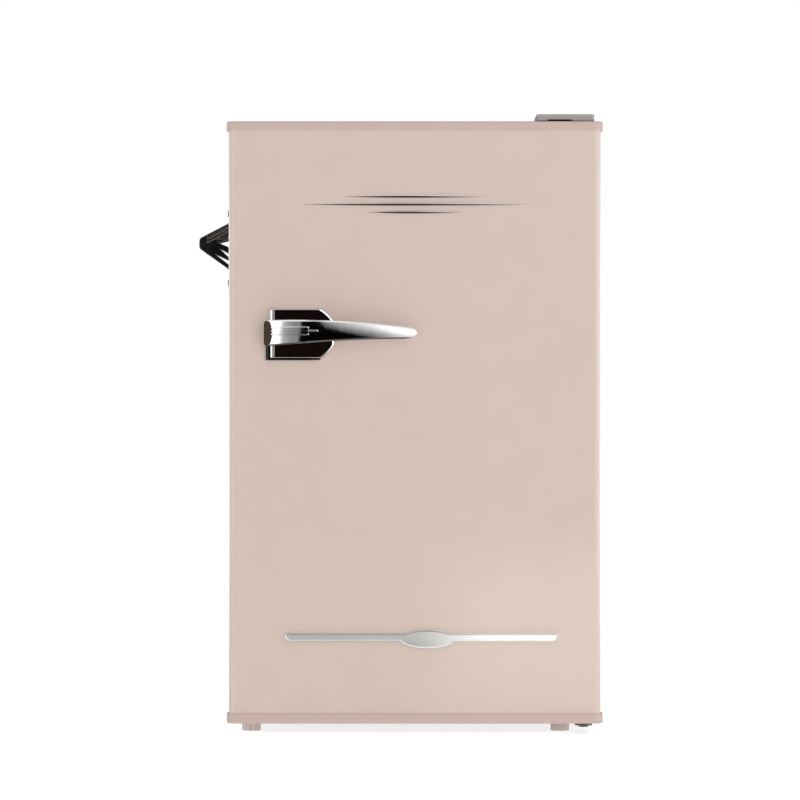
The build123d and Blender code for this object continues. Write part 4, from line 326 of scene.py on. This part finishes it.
# Dipped enamel: black and glossy, a little uneven where it ran before it set.
dip_enamel, tree, shader = new_finish("dipped_black_enamel", IOR=1.5)
cloud = add_grain(tree, shader, size_mm=4.0, depth_mm=0.05, roughness=(0.3, 0.42))
add_tint(tree, shader, cloud, "#151517", "#222224")
dress(dip_enamel, "compressor")
print("circuit:", roll_bond.name, copper.name, dip_enamel.name)

# %% [markdown]
# ## Dark plastic, rubber and foam
# What sits round the compressor is plain: the relay, switch, tray and spout are dark polypropylene, the
# grommets are rubber, and so are the magnet strips, filled with ferrite. The walls are filled with foam.
# None of it is polished, so high roughness and a coarse grain are enough.

# %% Machine room and filling
# Dark polypropylene: charcoal and matt.
dark_pp, tree, shader = new_finish("moulded_dark_polypropylene", IOR=1.49)
cloud = add_grain(tree, shader, size_mm=1.2, depth_mm=0.03, roughness=(0.45, 0.58))
add_tint(tree, shader, cloud, "#232427", "#2D2E31")
dress(dark_pp, "start_relay", "thermostat_switch", "evaporation_tray", "drain_spout")

# Rubber: black without shine.
rubber, tree, shader = new_finish("moulded_rubber", IOR=1.52)
cloud = add_grain(tree, shader, size_mm=1.5, depth_mm=0.05, roughness=(0.65, 0.8))
add_tint(tree, shader, cloud, "#201F1E", "#2B2A28")
dress(rubber, "compressor_grommets", "gasket_magnets")

# Foam: pale yellow, porous and quite matt.
foam, tree, shader = new_finish("polyurethane_foam", IOR=1.45)
cloud = add_grain(tree, shader, size_mm=2.0, depth_mm=0.3, roughness=(0.8, 0.9))
add_tint(tree, shader, cloud, "#E0CF8E", "#EBDCA4")
dress(foam, "insulation_foam", "door_foam")
print("plain materials:", dark_pp.name, rubber.name, foam.name)

# %% [markdown]
# ## Speed lines
# Appliances of this style carry a slim bright ornament high on the door. Here it is three plain speed
# lines, die cast and chromed. Each is a lens from the front and half round across. A curve with a bevel
# would give the length but not the flat back, so each is made from half rings along its length.

# %% Tools for new pieces
SHARP_ANGLE = math.radians(40)


def new_piece(name, shape, finish):
    """A mesh object from a bmesh, smooth except at sharp edges."""
    mesh = bpy.data.meshes.new(name)
    bmesh.ops.recalc_face_normals(shape, faces=shape.faces)
    shape.to_mesh(mesh)
    shape.free()
    mesh.materials.append(finish)
    mesh.shade_smooth()
    mesh.set_sharp_from_angle(angle=SHARP_ANGLE)
    piece = bpy.data.objects.new(name, mesh)
    bpy.context.scene.collection.objects.link(piece)
    return piece


def skin(shape, rings):
    """Faces between rings of points, closed at both ends."""
    loops = [[shape.verts.new(point) for point in ring] for ring in rings]
    for near, far in zip(loops, loops[1:]):
        for i in range(len(near)):
            j = (i + 1) % len(near)
            shape.faces.new((near[i], near[j], far[j], far[i]))
    shape.faces.new(loops[0])
    shape.faces.new(loops[-1])


print("new pieces turn sharp at", round(math.degrees(SHARP_ANGLE)), "degrees")

# %% [markdown]
# ### Three tapered bars
# The rings swell from a fine tip to full size in the middle and back. The power in the swell sets how long
# the bar stays wide: 2 would be a plain lens, and a little more keeps the middle straighter.

# %% Speed lines on the door
HALF_RINGS, ARCH_STEPS = 16, 10
SWELL_POWER, TIP_SWELL = 2.4, 0.06
LINE_DROP, LINE_STEP = 106 * MM, 10 * MM
LINE_HEIGHT, LINE_RISE = 4.4 * MM, 3 * MM
LINE_LENGTHS = {1: 180 * MM, 0: 286 * MM, -1: 120 * MM}


def speed_line(shape, centre, length):
    """A tapered bar that stands out from the door towards negative y."""
    rings = []
    for i in range(2 * HALF_RINGS + 1):
        along = i / HALF_RINGS - 1
        swell = max(1 - abs(along) ** SWELL_POWER, TIP_SWELL)
        ring = []
        for j in range(ARCH_STEPS + 1):
            angle = math.pi * j / ARCH_STEPS
            out = -LINE_RISE * swell * math.sin(angle)
            up = LINE_HEIGHT / 2 * swell * math.cos(angle)
            ring.append(centre + Vector((along * length / 2, out, up)))
        rings.append(ring)
    skin(shape, rings)


door_low, door_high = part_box("door_panel")
cap_low, cap_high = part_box("door_top_cap")
line_middle = Vector(((door_low[0] + door_high[0]) / 2, door_low[1], cap_high[2] - LINE_DROP))
shape = bmesh.new()
for row, length in LINE_LENGTHS.items():
    speed_line(shape, line_middle + Vector((0, 0, row * LINE_STEP)), length)
speed_lines = new_piece("speed_lines", shape, chrome)
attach(speed_lines, "door")
print("speed lines", [round(side, 3) for side in speed_lines.dimensions])

# %% [markdown]
# ## Painted shadow under the handle plate
# A dark rubber strip is painted shadow: it stands for the shadow line below the plate and the wider shade at
# the lower left, where the lever's end overhangs it. From the front it is one L whose foot thins out to the
# right, so its outline is extruded and its edges are rounded by a bevel. A dark stripe in the paint would
# look flat from the side, and this has its own depth.

# %% Painted shadow under the handle plate
LIP_STOP, LIP_LINE, LIP_DEPTH = 3.4 * MM, 0.8 * MM, 3.0 * MM
LIP_LENGTH, LIP_TAPER, LIP_TIP = 66 * MM, 16 * MM, 0.3 * MM
LIP_OVERLAP, LIP_ROUND = 4 * MM, 0.12 * MM
plate_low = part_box("handle_plate")[0]
lever_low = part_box("handle_lever")[0]
lip_left, lip_foot = plate_low[0] - LIP_STOP, plate_low[2] - LIP_LINE
lip_end, lip_top = plate_low[0] + LIP_LENGTH, lever_low[2] + LIP_OVERLAP
lip_outline = (
    (lip_left, lip_foot), (lip_end - LIP_TAPER, lip_foot), (lip_end, plate_low[2] - LIP_TIP),
    (lip_end, plate_low[2]), (plate_low[0], plate_low[2]), (plate_low[0], lip_top), (lip_left, lip_top),
)
shape = bmesh.new()
skin(shape, [[(x, y, z) for x, z in lip_outline] for y in (door_low[1], door_low[1] - LIP_DEPTH)])
bmesh.ops.bevel(shape, geom=list(shape.edges), offset=LIP_ROUND, segments=2, affect="EDGES")
# Painted shadow: a dark rubber strip below the handle plate, where its shadow falls.
handle_shadow_strip = new_piece("handle_shadow_strip", shape, rubber)
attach(handle_shadow_strip, "door")
print("lip", [round(side / MM, 1) for side in handle_shadow_strip.dimensions], "mm")

# %% [markdown]
# ## Thermostat dial
# The housing carries printed numbers round the knob, and the knob a printed pointer. Print is a film of
# ink a few hundredths of a millimetre thick, drawn here at about a tenth so that it stays clear of the
# plastic. Text objects give the numbers as real shapes, which need no picture.

# %% Dial print
# Printed ink: blue grey and matt, with a slightly uneven cover.
ink, tree, shader = new_finish("screen_printed_ink", IOR=1.5)
cloud = add_grain(tree, shader, size_mm=0.8, depth_mm=0.01, roughness=(0.5, 0.62))
add_tint(tree, shader, cloud, "#3C4650", "#48525C")

FIGURES = 8
FIGURE_SIZE, FIGURE_GAP = 6.5 * MM, 6 * MM
PRINT = 0.1 * MM
FULL_TURN = math.radians(270)
housing_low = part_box("thermostat_housing")[0]
knob_low, knob_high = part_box("thermostat_knob")
knob_middle = (Vector(knob_low) + Vector(knob_high)) / 2
reach = (knob_high[0] - knob_low[0]) / 2 + FIGURE_GAP
for number in range(FIGURES):
    turn = FULL_TURN * number / (FIGURES - 1)
    text = bpy.data.curves.new(f"dial_{number}", "FONT")
    text.body = str(number)
    text.size = FIGURE_SIZE
    text.align_x = "CENTER"
    text.align_y = "CENTER"
    text.extrude = PRINT
    text.materials.append(ink)
    figure = bpy.data.objects.new(f"dial_{number}", text)
    figure.location = (
        knob_middle.x - reach * math.sin(turn),
        housing_low[1] - PRINT / 2,
        knob_middle.z + reach * math.cos(turn),
    )
    figure.rotation_euler = (math.pi / 2, 0, 0)
    bpy.context.scene.collection.objects.link(figure)
    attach(figure, "cabinet")
print("dial", FIGURES, "numbers at", round(reach / MM, 1), "mm from the middle")

# %% [markdown]
# ### Pointer
# The pointer is a slim arrow on the knob's face: five corners, in millimetres from the knob's middle.
# It rides on the knob, so it turns with it while the numbers stay.

# %% Knob pointer
POINTER_MM = ((-0.7, 5), (0, 3.6), (0.7, 5), (0.5, 13), (-0.5, 13))
shape = bmesh.new()
skin(shape, [
    [(knob_middle.x + x * MM, knob_low[1] - lift, knob_middle.z + z * MM) for x, z in POINTER_MM]
    for lift in (-PRINT, PRINT)
])
pointer = new_piece("knob_pointer", shape, ink)
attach(pointer, "thermostat_knob")
print("pointer", [round(side / MM, 1) for side in pointer.dimensions], "mm")

# %% [markdown]
# ## Surround
# A product photograph on white, with chrome in it: the room is white, but the end where the camera stands
# is dark, with a grey screen to the left of it and an olive panel further round. That is what draws the
# black, grey and olive fields on a handle. Real walls would need a room full of objects. A world needs
# none: for reflections, its colour can change with the compass direction that they look in.
# The first step turns a direction into a heading, 0 straight at the camera's end and positive to the right.
# On the right the edge of the dark end leans, and adding a share of the height to the heading does that.

# %% Headings in the room
scene = bpy.context.scene
scene.view_settings.view_transform = "Standard"

LEAN, LEAN_BLEND = 0.33, 0.05
SWEEP = 120
world = bpy.data.worlds.new("white_room")
scene.world = world
world.use_nodes = True
tree = world.node_tree
look = add_node(tree, "TexCoord")
axes = add_node(tree, "SeparateXYZ", {0: look.outputs["Generated"]})
front = add_node(tree, "Math", {0: axes.outputs["Y"], 1: -1.0}, operation="MULTIPLY")
heading = add_node(tree, "Math", {0: axes.outputs["X"], 1: front.outputs[0]}, operation="ARCTAN2")
right_side = add_node(tree, "MapRange", {"Value": heading.outputs[0], "From Min": -LEAN_BLEND,
                                         "From Max": LEAN_BLEND})
lean = add_node(tree, "Math", {0: right_side.outputs[0], 1: axes.outputs["Z"]}, operation="MULTIPLY")
leaning = add_node(tree, "Math", {0: lean.outputs[0], 1: LEAN, 2: heading.outputs[0]},
                   operation="MULTIPLY_ADD")
sweep = add_node(tree, "MapRange", {"Value": leaning.outputs[0], "From Min": math.radians(-SWEEP),
                                    "From Max": math.radians(SWEEP)})
print("headings from", -SWEEP, "to", SWEEP, "degrees")

# %% [markdown]
# ### Walls
# A colour ramp holds the walls, with a stop at each heading where they change. Close stops give the hard
# edges that a handle mirrors, and distant ones a soft fade. High up, all of it gives way to a white ceiling.

# %% Walls and ceiling
WALL_STOPS = (
    (-98, "#FFFFFF"), (-93, "#4C4036"), (-72, "#4C4036"), (-66, "#FFFFFF"), (-34, "#F0F0F0"),
    (-26, "#909090"), (-10, "#929292"), (-9, "#040404"), (5.5, "#060606"), (22.5, "#F8F8F8"),
)
CEILING_FROM, CEILING_FULL = 0.8, 0.95


def fill_ramp(ramp, first, last, stops, low, high):
    """Colour a ramp's two ends, and add stops at headings between low and high."""
    ramp.elements[0].color = colour(first)
    ramp.elements[1].color = colour(last)
    for degrees, shade in stops:
        ramp.elements.new((degrees - low) / (high - low)).color = colour(shade)


walls = add_node(tree, "ValToRGB", {0: sweep.outputs[0]})
fill_ramp(walls.color_ramp, "#FFFFFF", "#FFFFFF", WALL_STOPS, -SWEEP, SWEEP)
overhead = add_node(tree, "MapRange", {"Value": axes.outputs["Z"], "From Min": CEILING_FROM,
                                       "From Max": CEILING_FULL})
ceiling = add_node(tree, "Mix", {0: overhead.outputs[0], 6: walls.outputs[0], 7: colour("#FFFFFF")},
                   data_type="RGBA")
print("walls with", len(walls.color_ramp.elements), "stops")

# %% [markdown]
# ### How bright the walls are
# The walls beside the camera's end are lit, those at the sides are plain, and behind the object they are
# dimmer, so its back isn't washed out. A second ramp gives that level for both sides at once, because it
# reads the heading without its sign. Below, the mirrored floor is dark, which grounds the chrome.

# %% Levels and the floor in reflections
STRIP_LEVEL = 2.6
LEVEL_STOPS = (
    (15, "#A6A6A6"), (26, "#DADADA"), (62, "#DADADA"), (74, "#A6A6A6"), (112, "#A6A6A6"), (130, "#7A7A7A"),
)
UNDER_FROM, UNDER_FULL, UNDER_SHARE = -0.45, -0.75, 0.94
aside = add_node(tree, "Math", {0: heading.outputs[0]}, operation="ABSOLUTE")
half_turn = add_node(tree, "MapRange", {"Value": aside.outputs[0], "From Max": math.pi})
strips = add_node(tree, "ValToRGB", {0: half_turn.outputs[0]})
fill_ramp(strips.color_ramp, "#A6A6A6", "#747474", LEVEL_STOPS, 0, 180)
levels = add_node(tree, "VectorMath", {0: ceiling.outputs[2], 1: strips.outputs[0]}, operation="MULTIPLY")
lit_walls = add_node(tree, "VectorMath", {0: levels.outputs[0], 3: STRIP_LEVEL}, operation="SCALE")
underfoot = add_node(tree, "MapRange", {"Value": axes.outputs["Z"], "From Min": UNDER_FROM,
                                        "From Max": UNDER_FULL, "To Max": UNDER_SHARE})
room = add_node(tree, "Mix", {0: underfoot.outputs[0], 6: lit_walls.outputs[0], 7: colour("#5A544E")},
                data_type="RGBA")
print("levels with", len(strips.color_ramp.elements), "stops, up to", STRIP_LEVEL)

# %% [markdown]
# ### Who sees what
# The room is for reflections alone. To the camera, and through glass, the world is plain white. As a light
# it is dimmer, so that paint shows the colour that it is written in. The Light Path node tells them apart.

# %% World colour
AMBIENT = 0.55
path = add_node(tree, "LightPath")
shown = add_node(tree, "Math", {0: path.outputs["Is Camera Ray"], 1: path.outputs["Is Transmission Ray"]},
                 operation="MAXIMUM")
level = add_node(tree, "Math", {0: shown.outputs[0], 1: 1.0 - AMBIENT, 2: AMBIENT}, operation="MULTIPLY_ADD")
mirrored = add_node(tree, "Mix", {0: path.outputs["Is Glossy Ray"], 6: level.outputs[0], 7: room.outputs[2]},
                    data_type="RGBA")
tree.links.new(mirrored.outputs[2], tree.nodes["Background"].inputs["Color"])
print("room light", AMBIENT)

# %% [markdown]
# ## Floor
# The floor is matt white paper. It takes the shadow of the object. It also glows a little, as a wide white
# floor does when light comes back from it, and that keeps the feet and the door's lower edge pale. The
# camera sees a bit more of the glow, which lifts the paper to the white of the room, so there is no
# horizon. Reflections look through the floor to the world below.

# %% Paper floor
FLOOR_REACH = 30.0
FLOOR_GLOW, CAMERA_GLOW = 0.53, 0.18
# Matt paper: white, with no highlight at all.
paper, tree, shader = new_finish("matt_white_paper", IOR=1.3, Emission_Color=colour("#FFFFFF"))
cloud = add_grain(tree, shader, size_mm=6.0, depth_mm=0.02, roughness=(0.85, 0.95))
add_tint(tree, shader, cloud, "#F7F7F7", "#F9F9F9")
path = add_node(tree, "LightPath")
glow = add_node(tree, "Math", {0: path.outputs["Is Camera Ray"], 1: CAMERA_GLOW, 2: FLOOR_GLOW},
                operation="MULTIPLY_ADD")
tree.links.new(glow.outputs[0], shader.inputs["Emission Strength"])
shape = bmesh.new()
bmesh.ops.create_grid(shape, x_segments=1, y_segments=1, size=FLOOR_REACH)
floor = new_piece("paper_floor", shape, paper)
floor.visible_glossy = False
print("floor", [round(side, 1) for side in floor.dimensions])

# %% [markdown]
# ## Lamps
# Two large soft lamps: a key from the front right, which leaves the left of the door a shade darker, and a
# weaker one above. They are too large to draw hard shadows. Reflections don't show them, because the
# walls and cards already give the metal its lights.

# %% Soft lamps
LAMP_SIZE = 2.6


def soft_lamp(name, place, aim, power):
    """A square area lamp that points at aim."""
    lamp = bpy.data.lights.new(name, "AREA")
    lamp.size = LAMP_SIZE
    lamp.energy = power
    holder = bpy.data.objects.new(name, lamp)
    holder.location = place
    holder.rotation_euler = (Vector(aim) - Vector(place)).to_track_quat("-Z", "Y").to_euler()
    holder.visible_glossy = False
    scene.collection.objects.link(holder)
    return holder


middle = (Vector(cad_box[0]) + Vector(cad_box[1])) / 2
key = soft_lamp("key_lamp", place=(1.6, -3.2, 0.9), aim=middle, power=26)
top = soft_lamp("top_lamp", place=(-0.6, 0.2, 3.4), aim=middle, power=11.5)
print("lamps", [(lamp.name, lamp.data.energy) for lamp in (key, top)])

# %% [markdown]
# ## Strips of light
# The door's upright edges are round, so they mirror what stands beside and behind the object. A long strip
# of light on each side, about as high as the object, draws a pale line down each edge. A strip is one
# glowing face that only reflections see, so it lights no paint and never shows in the picture itself.

# %% Strips at both sides
STRIP_SIDE, STRIP_BACK, STRIP_TOP = 2.0, 4.0, 0.86
LEFT_FRONT, RIGHT_FRONT = 0.0, -1.1


def glow_card(name, corners, strength):
    """A flat white card that only reflections see."""
    finish, tree, shader = new_finish(name, Emission_Strength=strength, Emission_Color=colour("#FFFFFF"),
                                      Base_Color=colour("#000000"))
    shape = bmesh.new()
    shape.faces.new([shape.verts.new(corner) for corner in corners])
    card = new_piece(name, shape, finish)
    for ray in ("camera", "diffuse", "transmission", "volume_scatter", "shadow"):
        setattr(card, f"visible_{ray}", False)
    return card, tree, shader


for name, x, near in (("left_strip", -STRIP_SIDE, LEFT_FRONT), ("right_strip", STRIP_SIDE, RIGHT_FRONT)):
    outline = ((near, 0), (STRIP_BACK, 0), (STRIP_BACK, STRIP_TOP), (near, STRIP_TOP))
    glow_card(name, [(x, y, z) for y, z in outline], STRIP_LEVEL)
print("strips", STRIP_SIDE, "m to each side,", STRIP_TOP, "m high")

# %% [markdown]
# ## Low card
# Flat satin metal facing a dark room would look dull. A white card low at the right, close to the object,
# is what a photographer puts there: the trim bar brightens towards it. The card fades out to the left and
# towards its upper and lower edges, by its alpha, so that the paint round the bar shows no outline of it.

# %% Card before the trim bar
CARD_GAP, CARD_HALF_WIDTH, CARD_HALF_HEIGHT = 0.1, 0.4, 0.15
CARD_LEVEL = 1.28
FADE_FROM, FADE_FULL = 0.02, 0.1
FADE_LOW, FADE_HIGH = 0.15, 0.96
FULL_HALF_HEIGHT = 0.05
trim_low, trim_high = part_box("lower_trim")
trim_height = (trim_low[2] + trim_high[2]) / 2
card_y = door_low[1] - CARD_GAP
card_corners = [
    (side * CARD_HALF_WIDTH, card_y, trim_height + rise * CARD_HALF_HEIGHT)
    for side, rise in ((-1, -1), (1, -1), (1, 1), (-1, 1))
]
card, tree, shader = glow_card("low_card", card_corners, CARD_LEVEL)
place = add_node(tree, "TexCoord")
across = add_node(tree, "SeparateXYZ", {0: place.outputs["Object"]})
sideways = add_node(tree, "MapRange", {"Value": across.outputs["X"], "From Min": FADE_FROM,
                                       "From Max": FADE_FULL, "To Min": FADE_LOW, "To Max": FADE_HIGH})
off_trim = add_node(tree, "Math", {0: across.outputs["Z"], 1: trim_height}, operation="SUBTRACT")
height = add_node(tree, "Math", {0: off_trim.outputs[0]}, operation="ABSOLUTE")
upright = add_node(tree, "MapRange", {"Value": height.outputs[0], "From Min": CARD_HALF_HEIGHT,
                                      "From Max": FULL_HALF_HEIGHT}, interpolation_type="SMOOTHSTEP")
fade = add_node(tree, "Math", {0: sideways.outputs[0], 1: upright.outputs[0]}, operation="MULTIPLY")
tree.links.new(fade.outputs[0], shader.inputs["Alpha"])
print("card", [round(side, 2) for side in card.dimensions])

# %% [markdown]
# ## Camera
# The photograph is taken square on with a long lens: the sides of the cabinet don't show at all.
# The scale at the door is 1.273 mm to a pixel, and the feet sit as far below the door as they do from
# 5 m away, so the camera stands there, level, at the height that the middle of the picture falls on.
# Two readings place it: the row of the door's upper edge, and how far its middle is right of the picture's.

# %% Camera
FRAME_PIXELS = 800
DOOR_TOP_ROW = 121.2
DOOR_RIGHT_PIXELS = 14.7
PIXEL = 1.273 * MM
DISTANCE = 5.0
SENSOR = 36.0
camera_data = bpy.data.cameras.new("camera")
camera_data.sensor_width = SENSOR
camera_data.lens = SENSOR * DISTANCE / (FRAME_PIXELS * PIXEL)
camera_data.clip_end = 100.0
camera = bpy.data.objects.new("camera", camera_data)
camera.location = (
    (cap_low[0] + cap_high[0]) / 2 - DOOR_RIGHT_PIXELS * PIXEL,
    door_low[1] - DISTANCE,
    cap_high[2] - (FRAME_PIXELS / 2 - DOOR_TOP_ROW) * PIXEL,
)
camera.rotation_euler = (math.pi / 2, 0, 0)
scene.collection.objects.link(camera)
scene.camera = camera
print("lens", round(camera_data.lens, 1), "at", [round(c, 3) for c in camera.location])
